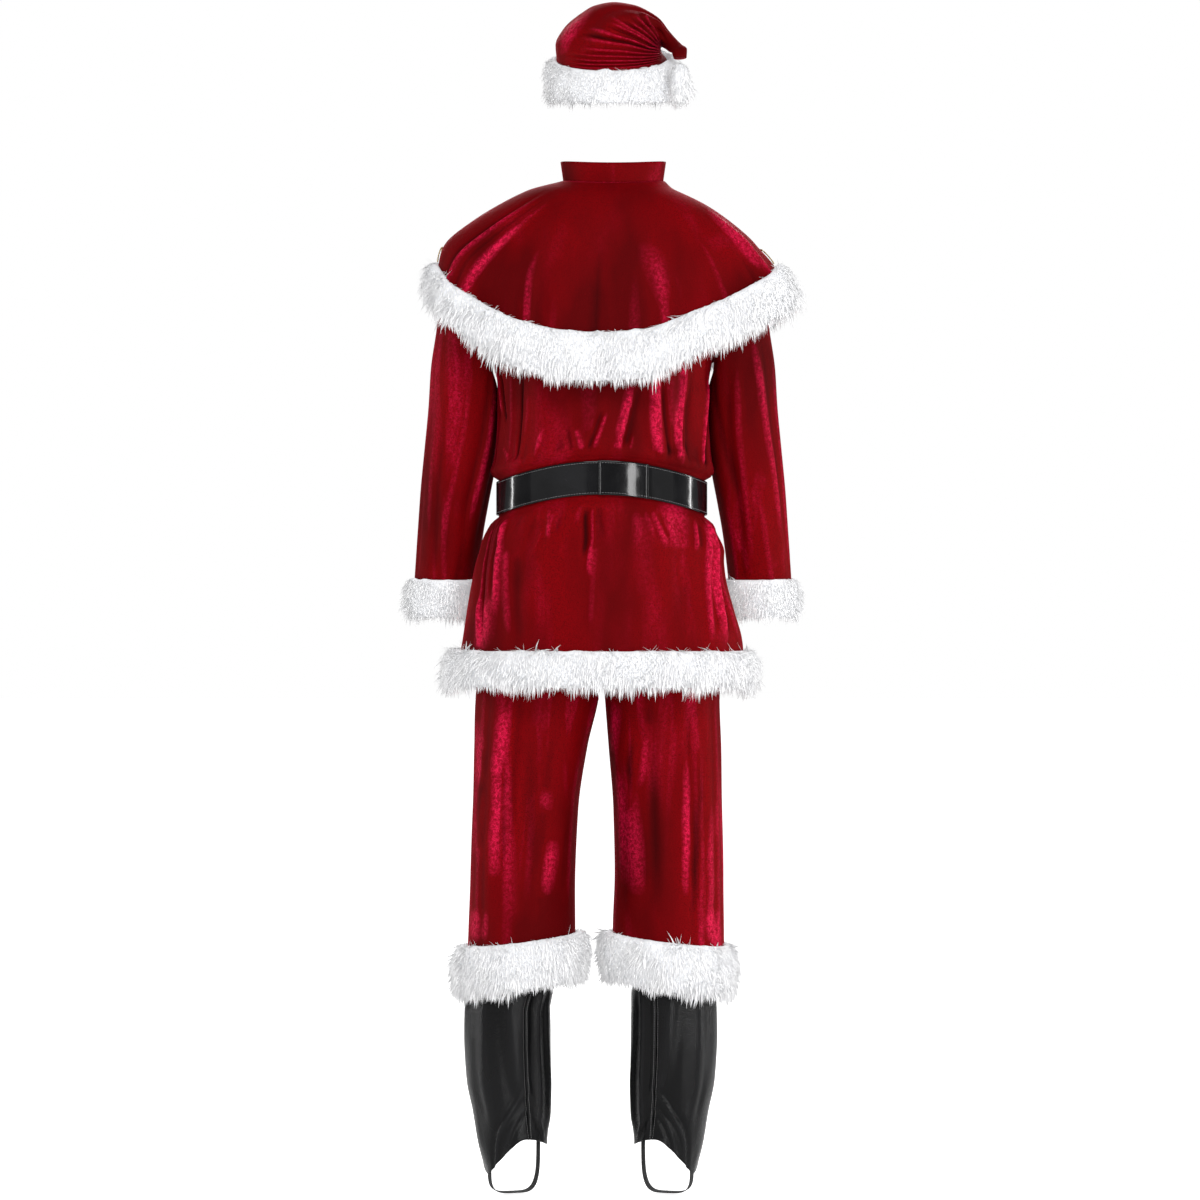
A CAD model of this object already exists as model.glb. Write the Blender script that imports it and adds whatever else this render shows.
import math
import random
from bisect import bisect_right
from functools import cache

import bmesh
import bpy
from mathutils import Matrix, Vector, noise


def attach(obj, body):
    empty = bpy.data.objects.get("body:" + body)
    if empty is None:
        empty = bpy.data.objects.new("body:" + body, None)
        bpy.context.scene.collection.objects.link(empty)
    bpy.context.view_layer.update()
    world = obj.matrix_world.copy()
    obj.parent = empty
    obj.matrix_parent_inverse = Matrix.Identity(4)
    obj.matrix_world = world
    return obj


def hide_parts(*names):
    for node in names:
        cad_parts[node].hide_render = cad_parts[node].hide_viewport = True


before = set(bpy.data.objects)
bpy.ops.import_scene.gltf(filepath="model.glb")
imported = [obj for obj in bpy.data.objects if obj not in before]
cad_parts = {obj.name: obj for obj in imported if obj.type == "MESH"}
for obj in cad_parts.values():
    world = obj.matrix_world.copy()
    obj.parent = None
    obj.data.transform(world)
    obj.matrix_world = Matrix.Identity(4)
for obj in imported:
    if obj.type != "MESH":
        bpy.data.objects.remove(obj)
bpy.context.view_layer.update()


# The view. The suit stands on a white sweep and is seen squarely from behind, from belt height. Tall
# soft boxes at both sides graze the velvet, a broad one above and a narrow one beside the camera light
# it, and pale walls show in the patent belt.
GROUND = -1.530
CAMERA_PLACE, CAMERA_DISTANCE, FRAME_HEIGHT = (0.0047, 6.0, -0.602), 6.0, 1.872
SHADOW_FILL, SWEEP, WHITE = 0.30, 30.0, (1.0, 1.0, 1.0, 1.0)


def placed(name, data):
    """A new object in the scene."""
    made = bpy.data.objects.new(name, data)
    bpy.context.collection.objects.link(made)
    return made


camera_data = bpy.data.cameras.new("camera")
camera_data.sensor_width = 36.0
camera_data.lens = camera_data.sensor_width * CAMERA_DISTANCE / FRAME_HEIGHT
camera = placed("camera", camera_data)
camera.location = CAMERA_PLACE
camera.rotation_euler = (math.radians(90), 0.0, math.radians(180))
bpy.context.scene.camera = camera
bpy.context.scene.view_settings.view_transform = "Standard"


def soft_box(name, place, target, width, height, power):
    """A large soft light that looks at a target."""
    data = bpy.data.lights.new(name, "AREA")
    data.shape = "RECTANGLE"
    data.size, data.size_y = width, height
    data.energy = power
    lamp = placed(name, data)
    lamp.location = place
    lamp.rotation_euler = (Vector(target) - Vector(place)).to_track_quat("-Z", "Y").to_euler()


soft_box("light_left", (3.4, -0.4, -0.3), (0.0, 0.0, -0.6), 0.16, 2.4, 42.0)
soft_box("light_right", (-3.4, -0.3, -0.3), (0.0, 0.0, -0.6), 0.16, 2.4, 50.0)
soft_box("light_top", (0.0, 4.2, 2.4), (0.0, 0.0, -0.7), 2.6, 1.6, 125.0)
soft_box("light_key", (-1.75, 3.9, -0.5), (0.0, 0.0, -0.6), 0.5, 2.2, 72.0)
soft_box("wall_left", (2.6, 3.2, -0.4), (0.0, 0.0, -0.5), 4.2, 2.6, 16.0)
soft_box("wall_right", (-3.4, 2.4, -0.4), (0.0, 0.0, -0.5), 1.8, 2.6, 8.0)
soft_box("light_behind", (0.0, -3.5, 1.6), (0.0, 0.0, -0.6), 3.0, 1.6, 90.0)


def fill(tree, node, inputs):
    """Sets or links the inputs of a node, given by name or number."""
    for key, value in inputs.items():
        if isinstance(value, bpy.types.NodeSocket):
            tree.links.new(value, node.inputs[key])
        else:
            node.inputs[key].default_value = value


def put(tree, kind, inputs=None, **settings):
    """A new node of a tree with its settings and inputs."""
    made = tree.nodes.new(kind)
    for key, value in settings.items():
        setattr(made, key, value)
    fill(tree, made, inputs or {})
    return made


def new_finish(name):
    """A new material, its tree, its shader and the place on the piece."""
    made = bpy.data.materials.new(name)
    made.use_nodes = True
    tree = made.node_tree
    return made, tree, tree.nodes["Principled BSDF"], put(tree, "ShaderNodeTexCoord").outputs["Object"]


backdrop = bpy.data.worlds.new("backdrop")
backdrop.use_nodes = True
tree = backdrop.node_tree
tree.nodes.clear()
seen = put(tree, "ShaderNodeBackground", {"Color": WHITE, "Strength": 1.0})
shining = put(tree, "ShaderNodeBackground", {"Color": WHITE, "Strength": SHADOW_FILL})
by_camera = put(tree, "ShaderNodeLightPath").outputs["Is Camera Ray"]
both = put(tree, "ShaderNodeMixShader", {0: by_camera, 1: shining.outputs[0], 2: seen.outputs[0]})
put(tree, "ShaderNodeOutputWorld", {"Surface": both.outputs[0]})
bpy.context.scene.world = backdrop

floor_mesh = bpy.data.meshes.new("floor")
floor_mesh.from_pydata(
    [(-SWEEP, -SWEEP, GROUND), (SWEEP, -SWEEP, GROUND), (SWEEP, SWEEP, GROUND), (-SWEEP, SWEEP, GROUND)],
    [],
    [(0, 1, 2, 3)],
)
paper, tree, shader, place = new_finish("white_paper")
away = put(tree, "ShaderNodeVectorMath", {0: place}, operation="LENGTH").outputs["Value"]
glow = put(tree, "ShaderNodeMapRange", {"Value": away, 1: 0.4, 2: 2.2, 3: 0.50, 4: 1.0}).outputs[0]
by_camera = put(tree, "ShaderNodeLightPath").outputs["Is Camera Ray"]
glow = put(tree, "ShaderNodeMath", {0: glow, 1: by_camera}, operation="MULTIPLY").outputs[0]
fill(tree, shader, {
    "Emission Strength": glow,
    "Emission Color": WHITE,
    "Base Color": (0.9, 0.9, 0.9, 1.0),
    "Roughness": 0.9,
})
floor_mesh.materials.append(paper)
placed("floor", floor_mesh)


# Jacket: a back and two fronts of crushed velvet, sewn at the sides and shoulders; the left front laps
# over the right one. The belt draws the cloth in, so gathers run up and down from it, and long folds
# hang from the shoulders and fall to the hem.
CLOTH, LIFT_ON_CLOTH, VELVET_WALL = 0.0022, 0.0006, 0.0017
# Columns: height at the side, centre x, half width, depth behind, depth in front, share of belt tilt
JACKET_ROWS = (
    (0.800, 0.006, 0.2240, 0.148, 0.146, 0.00),
    (0.866, 0.001, 0.2160, 0.142, 0.141, 0.00),
    (0.913, 0.004, 0.2060, 0.137, 0.136, 0.10),
    (0.959, 0.006, 0.1960, 0.132, 0.131, 0.30),
    (0.983, 0.005, 0.1920, 0.130, 0.129, 0.45),
    (1.006, 0.002, 0.1880, 0.128, 0.127, 0.62),
    (1.030, 0.003, 0.1785, 0.126, 0.124, 0.82),
    (1.047, 0.002, 0.1700, 0.123, 0.120, 0.95),
    (1.057, 0.002, 0.1585, 0.114, 0.112, 1.00),
    (1.115, 0.002, 0.1585, 0.114, 0.112, 1.00),
    (1.125, 0.001, 0.1725, 0.128, 0.124, 0.95),
    (1.145, 0.000, 0.1680, 0.130, 0.127, 0.80),
    (1.175, 0.000, 0.1645, 0.128, 0.129, 0.50),
    (1.215, 0.000, 0.1625, 0.126, 0.131, 0.20),
    (1.260, 0.000, 0.1625, 0.127, 0.133, 0.00),
    (1.300, 0.000, 0.1680, 0.129, 0.134, 0.00),
)
BELT_TILT_BEHIND, BELT_TILT_IN_FRONT, TILT_ROUNDING = 0.029, 0.021, 1.5
HEM, CHEST, BELT_MIDDLE, FOLD_END = 0.800, 1.300, 1.086, 0.010
JACKET_STEPS, SHOULDER_STEPS, BACK_COLUMNS, FRONT_COLUMNS = 84, 24, 208, 56
# Main folds. Columns: degrees around at the top, height there, degrees at the foot, height there, half
# width in degrees, depth (a ridge is positive, a trough negative)
JACKET_FOLDS = (
    (38, 1.330, 35, 1.128, 6, -0.0050),
    (53, 1.300, 56, 1.132, 6, 0.0040),
    (70, 1.230, 68, 1.132, 5, -0.0030),
    (81, 1.300, 84, 1.132, 6, 0.0045),
    (104, 1.240, 101, 1.132, 5, -0.0035),
    (126, 1.340, 128, 1.130, 7, 0.0050),
    (143, 1.260, 146, 1.130, 5, -0.0040),
    (163, 1.290, 160, 1.128, 6, 0.0030),
    (205, 1.280, 208, 1.125, 7, -0.0040),
    (232, 1.320, 228, 1.125, 7, 0.0045),
    (308, 1.320, 312, 1.125, 7, 0.0045),
    (335, 1.280, 330, 1.125, 7, -0.0040),
    (15, 1.044, 27, 0.905, 5, -0.0070),
    (32, 1.044, 38, 0.830, 6, 0.0060),
    (58, 1.040, 54, 0.930, 7, -0.0040),
    (86, 1.044, 87, 0.985, 4, -0.0050),
    (108, 1.040, 112, 0.900, 8, 0.0040),
    (132, 1.044, 128, 0.880, 6, -0.0045),
    (155, 1.044, 144, 0.830, 7, 0.0070),
    (168, 1.040, 160, 0.900, 5, -0.0050),
    (212, 1.040, 207, 0.860, 8, 0.0050),
    (238, 1.040, 242, 0.890, 7, -0.0045),
    (302, 1.040, 297, 0.890, 7, -0.0045),
    (328, 1.040, 334, 0.860, 8, 0.0050),
)
# Fine creases, in the same columns
JACKET_CREASES = (
    (8, 1.310, 20, 1.215, 1.6, 0.0036),
    (13, 1.310, 24, 1.200, 1.6, -0.0050),
    (22, 1.165, 35, 1.128, 1.3, 0.0026),
    (30, 1.300, 30, 1.150, 2.0, 0.0018),
    (40, 1.300, 37, 1.128, 1.2, -0.0040),
    (46, 1.260, 43, 1.150, 2.2, 0.0014),
    (57, 1.185, 53, 1.128, 1.2, 0.0028),
    (67, 1.185, 71, 1.128, 1.1, 0.0028),
    (70, 1.185, 74, 1.128, 1.1, -0.0020),
    (75, 1.180, 80, 1.130, 1.1, 0.0030),
    (90, 1.220, 82.5, 1.130, 1.3, -0.0038),
    (92.5, 1.215, 84.5, 1.130, 1.2, 0.0028),
    (106, 1.250, 97, 1.130, 2.4, 0.0042),
    (110, 1.270, 102, 1.140, 2.4, -0.0026),
    (106.6, 1.170, 104, 1.130, 1.1, 0.0024),
    (119, 1.290, 119.5, 1.130, 2.6, 0.0042),
    (122.5, 1.280, 126.5, 1.130, 1.4, -0.0048),
    (129, 1.200, 129.5, 1.130, 1.3, -0.0028),
    (140.5, 1.300, 132, 1.130, 1.6, 0.0048),
    (147, 1.300, 140, 1.140, 2.4, -0.0020),
    (170, 1.300, 153, 1.130, 1.4, 0.0044),
    (175, 1.300, 157.5, 1.130, 2.4, -0.0060),
    (15, 1.040, 30, 0.850, 1.7, 0.0048),
    (19.5, 1.040, 33.5, 0.850, 1.8, -0.0052),
    (31, 1.044, 37, 0.920, 1.2, -0.0038),
    (34, 1.044, 40.5, 0.900, 1.7, 0.0038),
    (41, 1.000, 50, 0.860, 2.4, 0.0022),
    (48, 0.990, 55, 0.850, 2.8, -0.0018),
    (61, 1.025, 56, 0.985, 1.4, 0.0020),
    (66, 1.044, 63, 1.008, 1.1, 0.0024),
    (70, 1.044, 68, 1.010, 1.1, -0.0018),
    (82, 1.044, 83, 0.975, 1.2, -0.0044),
    (85.5, 1.044, 85.5, 0.950, 1.1, 0.0040),
    (88.5, 1.000, 85, 0.870, 1.6, 0.0014),
    (112, 1.044, 115, 1.010, 1.1, 0.0018),
    (116, 1.044, 121, 1.000, 1.2, 0.0032),
    (119.5, 1.044, 124.5, 1.004, 1.2, -0.0024),
    (145, 1.042, 139, 0.993, 1.3, 0.0040),
    (148.5, 1.042, 143, 0.996, 1.3, -0.0028),
    (150.5, 1.020, 139, 0.855, 1.4, 0.0036),
    (154, 1.020, 142.5, 0.865, 1.5, -0.0032),
    (156.5, 1.042, 149, 0.850, 2.0, 0.0048),
    (161.5, 1.036, 155, 0.860, 2.4, -0.0052),
    (168, 1.030, 163, 0.850, 2.2, 0.0030),
)
# Streaks pressed into the nap behind. Columns: x at the top, height there, x at the foot, height there,
# half width, strength
JACKET_PRESSED = (
    (-0.104, 1.085, -0.112, 1.005, 0.020, 0.9),
    (-0.124, 1.020, -0.116, 0.950, 0.010, 0.6),
    (-0.160, 1.060, -0.178, 0.900, 0.006, 1.2),
    (0.184, 0.930, 0.188, 0.850, 0.008, 1.4),
    (-0.044, 1.260, -0.024, 1.180, 0.008, 1.0),
    (-0.080, 1.290, -0.080, 1.170, 0.007, 1.2),
    (-0.124, 1.300, -0.112, 1.160, 0.006, 1.3),
)
STREAK_WANDER, STREAK_WAVES = 0.004, 14.0
# Depths of a crease and of a fold that mark the nap fully, and a fold's share above the chest
CREASE_MARK, FOLD_MARK, FOLD_MARK_ABOVE = 0.004, 0.016, 0.4
# Short gathers where the belt draws the cloth in: how many, how far they run, their widths and depths, and
# the heights at which they start above and below the belt, for the seen end and for the end under it
GATHERS, GATHER_REACH, GATHER_WIDTH, GATHER_DEPTH = 46, (0.018, 0.060), (1.1, 2.1), (-0.0020, 0.0022)
GATHER_SHIFT, GATHER_DRIFT = (-0.3, 0.3), (-4.0, 4.0)
GATHER_ABOVE, GATHER_BELOW = (1.128, 1.121), (1.044, 1.050)
ARMHOLE_TOP, ARMHOLE_FOOT, ARMHOLE_HALF_DEPTH = (0.185, 1.516), (0.168, 1.300), 0.083
NECK_POINT, NECK_BEHIND, NECK_IN_FRONT = (0.085, 1.5715), (0.062, 1.552), (0.088, 1.505)
NECK_SHARE, NECK_STEEPEST, EDGE = 0.48, 0.3, 0.0003
SHOULDER_ROUNDING, SHOULDER_DRAW, ARMHOLE_DRAW = 2.6, 1.5, 3
FRONT_LAP_DEGREES, FRONT_LAP_RISE, LAP_COMES_DOWN = 7.5, 0.0035, (0.5, 1.6)
SEAM_ROLL, JACKET_ROLL_DEGREES = -0.0011, 1.3
DEEP_RED, MIDDLE_RED = (0.022, 0.0, 0.0003, 1.0), (0.178, 0.0, 0.0016, 1.0)
WORN_RED, SHEEN_RED, LONG_STREAKS = (0.62, 0.008, 0.055, 1.0), (1.0, 0.02, 0.07, 1.0), (24.0, 24.0, 2.6)


def smooth(low, high, value):
    share = min(1.0, max(0.0, (value - low) / (high - low)))
    return share * share * (3.0 - 2.0 * share)


def curve_through(table):
    """Turns a table into a function that gives its columns at any place; its first column is the places."""
    places = [row[0] for row in table]
    columns, tangents = list(zip(*table))[1:], []
    for values in columns:
        steps = [(b - a) / (q - p) for p, q, a, b in zip(places, places[1:], values, values[1:])]
        inner = [0.0 if a * b <= 0 else 2 * a * b / (a + b) for a, b in zip(steps, steps[1:])]
        tangents.append([steps[0], *inner, steps[-1]])

    def at(place):
        place = min(places[-1], max(places[0], place))
        k = min(len(places) - 2, bisect_right(places, place) - 1)
        span = places[k + 1] - places[k]
        s = (place - places[k]) / span
        a, b = (1 + 2 * s) * (1 - s) ** 2, s * (1 - s) ** 2 * span
        c, d = s * s * (3 - 2 * s), s * s * (s - 1) * span
        return [a * v[k] + b * t[k] + c * v[k + 1] + d * t[k + 1] for v, t in zip(columns, tangents)]

    return at


def bump(distance, half_width):
    return math.exp(-((distance / half_width) ** 2))


def apart(a, b):
    """The angle from b to a, in degrees, the short way round."""
    return (a - b + 180.0) % 360.0 - 180.0


def fade(value, low, high, edge):
    return smooth(low - edge, low + edge, value) * (1.0 - smooth(high - edge, high + edge, value))


def belt_tilt(degrees):
    """How far a row at the waist rises behind and sinks in front, for the angle around the body."""
    c, s = math.cos(math.radians(degrees)), math.sin(math.radians(degrees))
    e = TILT_ROUNDING
    share = (math.hypot(1, e) - math.hypot(c, e)) / (math.hypot(1, e) - e)
    return share * (BELT_TILT_BEHIND if s > 0 else -BELT_TILT_IN_FRONT)


def fold_height(folds, degrees, height):
    """How far the folds of a table stand out at an angle and a height."""
    total = 0.0
    for top_at, top, foot_at, foot, half_width, depth in folds:
        if not foot < height < top:
            continue
        at = top_at + (foot_at - top_at) * (top - height) / (top - foot)
        off = apart(degrees, at)
        if abs(off) > 3 * half_width:
            continue
        far = 0.3 * (top - foot)
        low, high = (FOLD_END, far) if foot > BELT_MIDDLE else (far, FOLD_END)
        window = smooth(foot, foot + low, height) * (1.0 - smooth(top - high, top, height))
        total += depth * bump(off, half_width) * window
    return total


jacket_row = curve_through(JACKET_ROWS)


def jacket_body(degrees, height, folded=True):
    """A point of the jacket's inner face, from the hem to the chest."""
    centre, half_width, behind, in_front, tilt = jacket_row(height)
    c, s = math.cos(math.radians(degrees)), math.sin(math.radians(degrees))
    depth = behind if s > 0 else in_front
    out = 1.0 + (fold_height(JACKET_FOLDS, degrees, height) / half_width if folded else 0.0)
    up = height + GROUND + tilt * belt_tilt(degrees)
    return Vector((centre + half_width * out * c, depth * out * s, up))


def jacket_upper(degrees, share):
    """A point of the jacket's inner face above the chest, up to the shoulder seams and the neck."""
    side = 1.0 if math.cos(math.radians(degrees)) >= 0 else -1.0
    back = 1.0 if math.sin(math.radians(degrees)) >= 0 else -1.0
    across = abs(apart(degrees, 90.0 * back)) / 90.0
    turn = math.radians(90.0 * (1.0 - across))
    neck_y, neck_height = NECK_BEHIND if back > 0 else NECK_IN_FRONT
    rim = 0.5 * math.pi * min(1.0, across / NECK_SHARE)
    to_shoulder = max(0.0, (across - NECK_SHARE) / (1.0 - NECK_SHARE))
    top_x = NECK_POINT[0] * math.sin(rim) + (ARMHOLE_TOP[0] - NECK_POINT[0]) * to_shoulder
    top_y = max(neck_y * math.cos(rim), EDGE)
    top_height = NECK_POINT[1] + (neck_height - NECK_POINT[1]) * math.cos(rim)
    top_height += (ARMHOLE_TOP[1] - NECK_POINT[1]) * to_shoulder

    rise = 0.5 - 0.5 * math.cos(math.pi * share)
    edge_x = ARMHOLE_FOOT[0] + (ARMHOLE_TOP[0] - ARMHOLE_FOOT[0]) * rise
    edge_y = ARMHOLE_HALF_DEPTH * math.sin(math.pi * share)
    edge_height = (ARMHOLE_TOP[1] - ARMHOLE_FOOT[1]) * (rise - share)

    _, half_width, behind, in_front, _ = jacket_row(CHEST)
    fold = 1.0 + fold_height(JACKET_FOLDS, degrees, CHEST) / half_width * (1.0 - share)
    middle_y = top_y / max(math.sin(turn), NECK_STEEPEST)
    middle_y += ((behind if back > 0 else in_front) - middle_y) * math.sqrt(1.0 - share ** SHOULDER_ROUNDING)
    x = edge_x * math.cos(turn) + (top_x - ARMHOLE_TOP[0] * math.cos(turn)) * share ** SHOULDER_DRAW
    y = max(edge_y + (middle_y - edge_y) * math.sin(turn), EDGE)
    height = CHEST + (top_height - CHEST) * share + edge_height * across ** ARMHOLE_DRAW
    return Vector((side * x * fold, back * y * fold, height + GROUND))


def jacket_point(degrees, row):
    """A point of the jacket's inner face: a row is a height up to the chest, and then adds a share."""
    return jacket_upper(degrees, min(1.0, row - CHEST)) if row > CHEST else jacket_body(degrees, row)


def lap_rise(degrees):
    """How far the left front stands off, over the right one and up to where it comes back down."""
    return FRONT_LAP_RISE * (1.0 - smooth(*LAP_COMES_DOWN, abs(apart(degrees, 270.0)) / FRONT_LAP_DEGREES))


def raised(grid, lifts, closed=False):
    """A grid of points, each moved outward by its lift; rows run upward and columns counterclockwise."""
    last_row, columns, moved = len(grid) - 1, len(grid[0]), []
    for i, row in enumerate(grid):
        below, above = grid[max(0, i - 1)], grid[min(last_row, i + 1)]
        line = []
        for j, point in enumerate(row):
            before = row[j - 1] if closed or j else row[0]
            after = row[(j + 1) % columns] if closed or j < columns - 1 else row[-1]
            outward = (after - before).cross(above[j] - below[j]).normalized()
            line.append(point + outward * lifts[i][j])
        moved.append(line)
    return moved


def from_bmesh(name, bm, look=None, sharp=None):
    """An object made from a bmesh. With a look it is smooth, but for edges sharper than an angle."""
    mesh = bpy.data.meshes.new(name)
    bm.to_mesh(mesh)
    bm.free()
    if look:
        mesh.materials.append(look)
        mesh.shade_smooth()
    if sharp:
        mesh.set_sharp_from_angle(angle=math.radians(sharp))
    return placed(name, mesh)


def cloth(name, grid, creases, look, rises=None, closed=False, tip=False, wall=VELVET_WALL, gauge=CLOTH):
    """A shell of cloth over a grid of inner points. Its creases stand off the grid and mark the nap, and
    its own UV map holds the cloth's lengths in metres, across and up."""
    lifts = [[gauge + crease for crease in row] for row in creases]
    if rises:
        lifts = [[lift + rise for lift, rise in zip(row, extra)] for row, extra in zip(lifts, rises)]
    outer = raised(grid, lifts, closed)
    bm = bmesh.new()
    cut, mark = bm.loops.layers.uv.new("cut"), bm.verts.layers.float.new("crease")
    verts = [[bm.verts.new(point) for point in row] for row in outer]
    for row, values in zip(verts, creases):
        for vert, value in zip(row, values):
            vert[mark] = value / CREASE_MARK
    columns = len(outer[0])
    middle, u, v = outer[len(outer) // 2], [0.0], [0.0]
    for k in range(columns if closed else columns - 1):
        u.append(u[-1] + (middle[(k + 1) % columns] - middle[k]).length)
    for low, high in zip(outer, outer[1:]):
        v.append(v[-1] + (high[0] - low[0]).length)
    for i, (low, high) in enumerate(zip(verts, verts[1:])):
        for k in range(columns if closed else columns - 1):
            n = (k + 1) % columns
            face = bm.faces.new((low[k], low[n], high[n], high[k]))
            corners = (u[k], v[i]), (u[k + 1], v[i]), (u[k + 1], v[i + 1]), (u[k], v[i + 1])
            for loop, spot in zip(face.loops, corners):
                loop[cut].uv = spot
    if tip:
        end = bm.verts.new(sum((vert.co for vert in verts[-1]), Vector()) / columns)
        for k in range(columns):
            bm.faces.new((verts[-1][k], verts[-1][(k + 1) % columns], end))
    piece = from_bmesh(name, bm, look)
    shell = piece.modifiers.new("wall", "SOLIDIFY")
    shell.thickness = wall
    shell.offset = -1.0
    return piece


def worn(piece, slot, *nodes):
    """The piece rides with the suit, takes its finish from a slot and stands for its solids."""
    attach(piece, "root")
    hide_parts(*nodes)


def node_group(name, kind, inputs, outputs):
    """An empty node group with named sockets, and the outputs of its input node. An input's row holds its
    name, its type and, where it has one, its default."""
    tree = bpy.data.node_groups.new(name, kind)
    for label, socket_type, *value in inputs:
        socket = tree.interface.new_socket(label, in_out="INPUT", socket_type=socket_type)
        if value:
            socket.default_value = value[0]
    for label, socket_type in outputs:
        tree.interface.new_socket(label, in_out="OUTPUT", socket_type=socket_type)
    return tree, put(tree, "NodeGroupInput").outputs


def ranged(tree, value, low, high, to_low=0.0, to_high=1.0):
    """A value brought from one range to another, held at its ends."""
    inputs = {"Value": value, "From Min": low, "From Max": high, "To Min": to_low, "To Max": to_high}
    return put(tree, "ShaderNodeMapRange", inputs).outputs["Result"]


def mixed(tree, share, first, second):
    return put(tree, "ShaderNodeMix", {0: share, 6: first, 7: second}, data_type="RGBA").outputs[2]


def maths(tree, operation, first, second):
    return put(tree, "ShaderNodeMath", {0: first, 1: second}, operation=operation).outputs[0]


def vectors(tree, operation, first, second):
    return put(tree, "ShaderNodeVectorMath", {0: first, 1: second}, operation=operation).outputs[0]


def scaled(tree, vector, size):
    return put(tree, "ShaderNodeVectorMath", {0: vector, "Scale": size}, operation="SCALE").outputs[0]


def grained(tree, place, scale, detail, distortion=0.0):
    inputs = {"Vector": place, "Scale": scale, "Detail": detail, "Distortion": distortion}
    return put(tree, "ShaderNodeTexNoise", inputs).outputs["Fac"]


def bumped(tree, strength, distance, height):
    inputs = {"Strength": strength, "Distance": distance, "Height": height}
    return put(tree, "ShaderNodeBump", inputs).outputs["Normal"]


# The nap of crushed velvet: it lies darker in troughs, shines where ridges are worn, and is pressed into
# long bright streaks that run down the cloth, broken up by the fine grain of the pile.
nap, nap_in = node_group(
    "velvet_nap",
    "ShaderNodeTree",
    (
        ("Place", "NodeSocketVector"),
        ("Crease", "NodeSocketFloat", 0.0),
        ("Streaks", "NodeSocketFloat", 0.5),
        ("Stretch", "NodeSocketVector", LONG_STREAKS),
    ),
    (("Colour", "NodeSocketColor"), ("Roughness", "NodeSocketFloat"), ("Normal", "NodeSocketVector")),
)
long_noise = grained(nap, vectors(nap, "MULTIPLY", nap_in["Place"], nap_in["Stretch"]), 1.0, 4.0, 0.6)
patch_noise = grained(nap, vectors(nap, "MULTIPLY", nap_in["Place"], (8.0, 8.0, 2.8)), 1.0, 3.0)
grain = grained(nap, nap_in["Place"], 620.0, 2.0)
mottle = grained(nap, nap_in["Place"], 210.0, 5.0)
streak = maths(nap, "MULTIPLY", ranged(nap, long_noise, 0.52, 0.70), ranged(nap, patch_noise, 0.42, 0.60))
streak = maths(nap, "MULTIPLY", streak, nap_in["Streaks"])
ridge = ranged(nap, nap_in["Crease"], 0.15, 1.1, 0.0, 0.75)
bright = maths(nap, "MAXIMUM", streak, ridge)
bright = maths(nap, "MULTIPLY", bright, ranged(nap, grain, 0.38, 0.62, 0.50, 1.25))
bright = maths(nap, "MULTIPLY", bright, ranged(nap, mottle, 0.40, 0.60, 0.40, 1.25))
trough = ranged(nap, nap_in["Crease"], -0.1, -1.1, 0.0, 0.92)
shade = ranged(nap, patch_noise, 0.60, 0.38, 0.0, 0.60)
shade = maths(nap, "MAXIMUM", shade, ranged(nap, grain, 0.52, 0.38, 0.0, 0.50))
colour = mixed(nap, shade, MIDDLE_RED, DEEP_RED)
colour = mixed(nap, bright, colour, WORN_RED)
colour = mixed(nap, trough, colour, DEEP_RED)
put(nap, "NodeGroupOutput", {
    "Colour": colour,
    "Roughness": ranged(nap, bright, 0.0, 0.8, 0.72, 0.50),
    "Normal": bumped(nap, 0.30, 0.0012, maths(nap, "ADD", maths(nap, "MULTIPLY", grain, 0.35), mottle)),
})


def velvet(name, streaks, stretch=LONG_STREAKS):
    """Crushed velvet, with as many pressed streaks as the piece shows."""
    made, tree, shader, place = new_finish(name)
    crease = put(tree, "ShaderNodeAttribute", attribute_name="crease").outputs["Fac"]
    inputs = {"Place": place, "Crease": crease, "Streaks": streaks, "Stretch": stretch}
    effect = put(tree, "ShaderNodeGroup", inputs, node_tree=nap).outputs
    fill(tree, shader, {
        "Base Color": effect["Colour"],
        "Roughness": effect["Roughness"],
        "Normal": effect["Normal"],
        "Specular IOR Level": 0.04,
        "Sheen Weight": 0.26,
        "Sheen Roughness": 0.26,
        "Sheen Tint": SHEEN_RED,
    })
    return made


chance = random.Random(11)
gathers = []
for k in range(GATHERS):
    for above in (True, False):
        at = 360.0 * (k + chance.uniform(*GATHER_SHIFT)) / GATHERS
        far_at = at + chance.uniform(*GATHER_DRIFT)
        reach, width, depth = [chance.uniform(*span) for span in (GATHER_REACH, GATHER_WIDTH, GATHER_DEPTH)]
        if above:
            gathers.append((far_at, GATHER_ABOVE[0] + reach, at, GATHER_ABOVE[1], width, depth))
        else:
            gathers.append((at, GATHER_BELOW[1], far_at, GATHER_BELOW[0] - reach, width, depth))
JACKET_FINE = JACKET_CREASES + tuple(gathers)


def pressed(marks, point):
    """How bright the pressed streaks of a table make the nap at a point behind."""
    height, value = point.z - GROUND, 0.0
    for x_top, top, x_foot, foot, half_width, strength in marks:
        if point.y > 0 and foot < height < top:
            share = (top - height) / (top - foot)
            wander = STREAK_WANDER * noise.noise(Vector((x_top * 50, 0.0, height * STREAK_WAVES)))
            off = point.x - (x_top + (x_foot - x_top) * share) - wander
            along = math.sin(math.pi * share) ** 0.5
            value += strength * bump(off, half_width) * along * smooth(0.0, 0.04, point.y)
    return value


def mark_nap(piece, grid, streaks, folds=None):
    """Marks the nap of a piece with a table's pressed streaks and, in the grid's order, with its folds."""
    marks = piece.data.attributes["crease"].data
    for k, point in enumerate(point for row in grid for point in row):
        if folds:
            marks[k].value += folds[k]
        marks[k].value += pressed(streaks, point)


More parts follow.
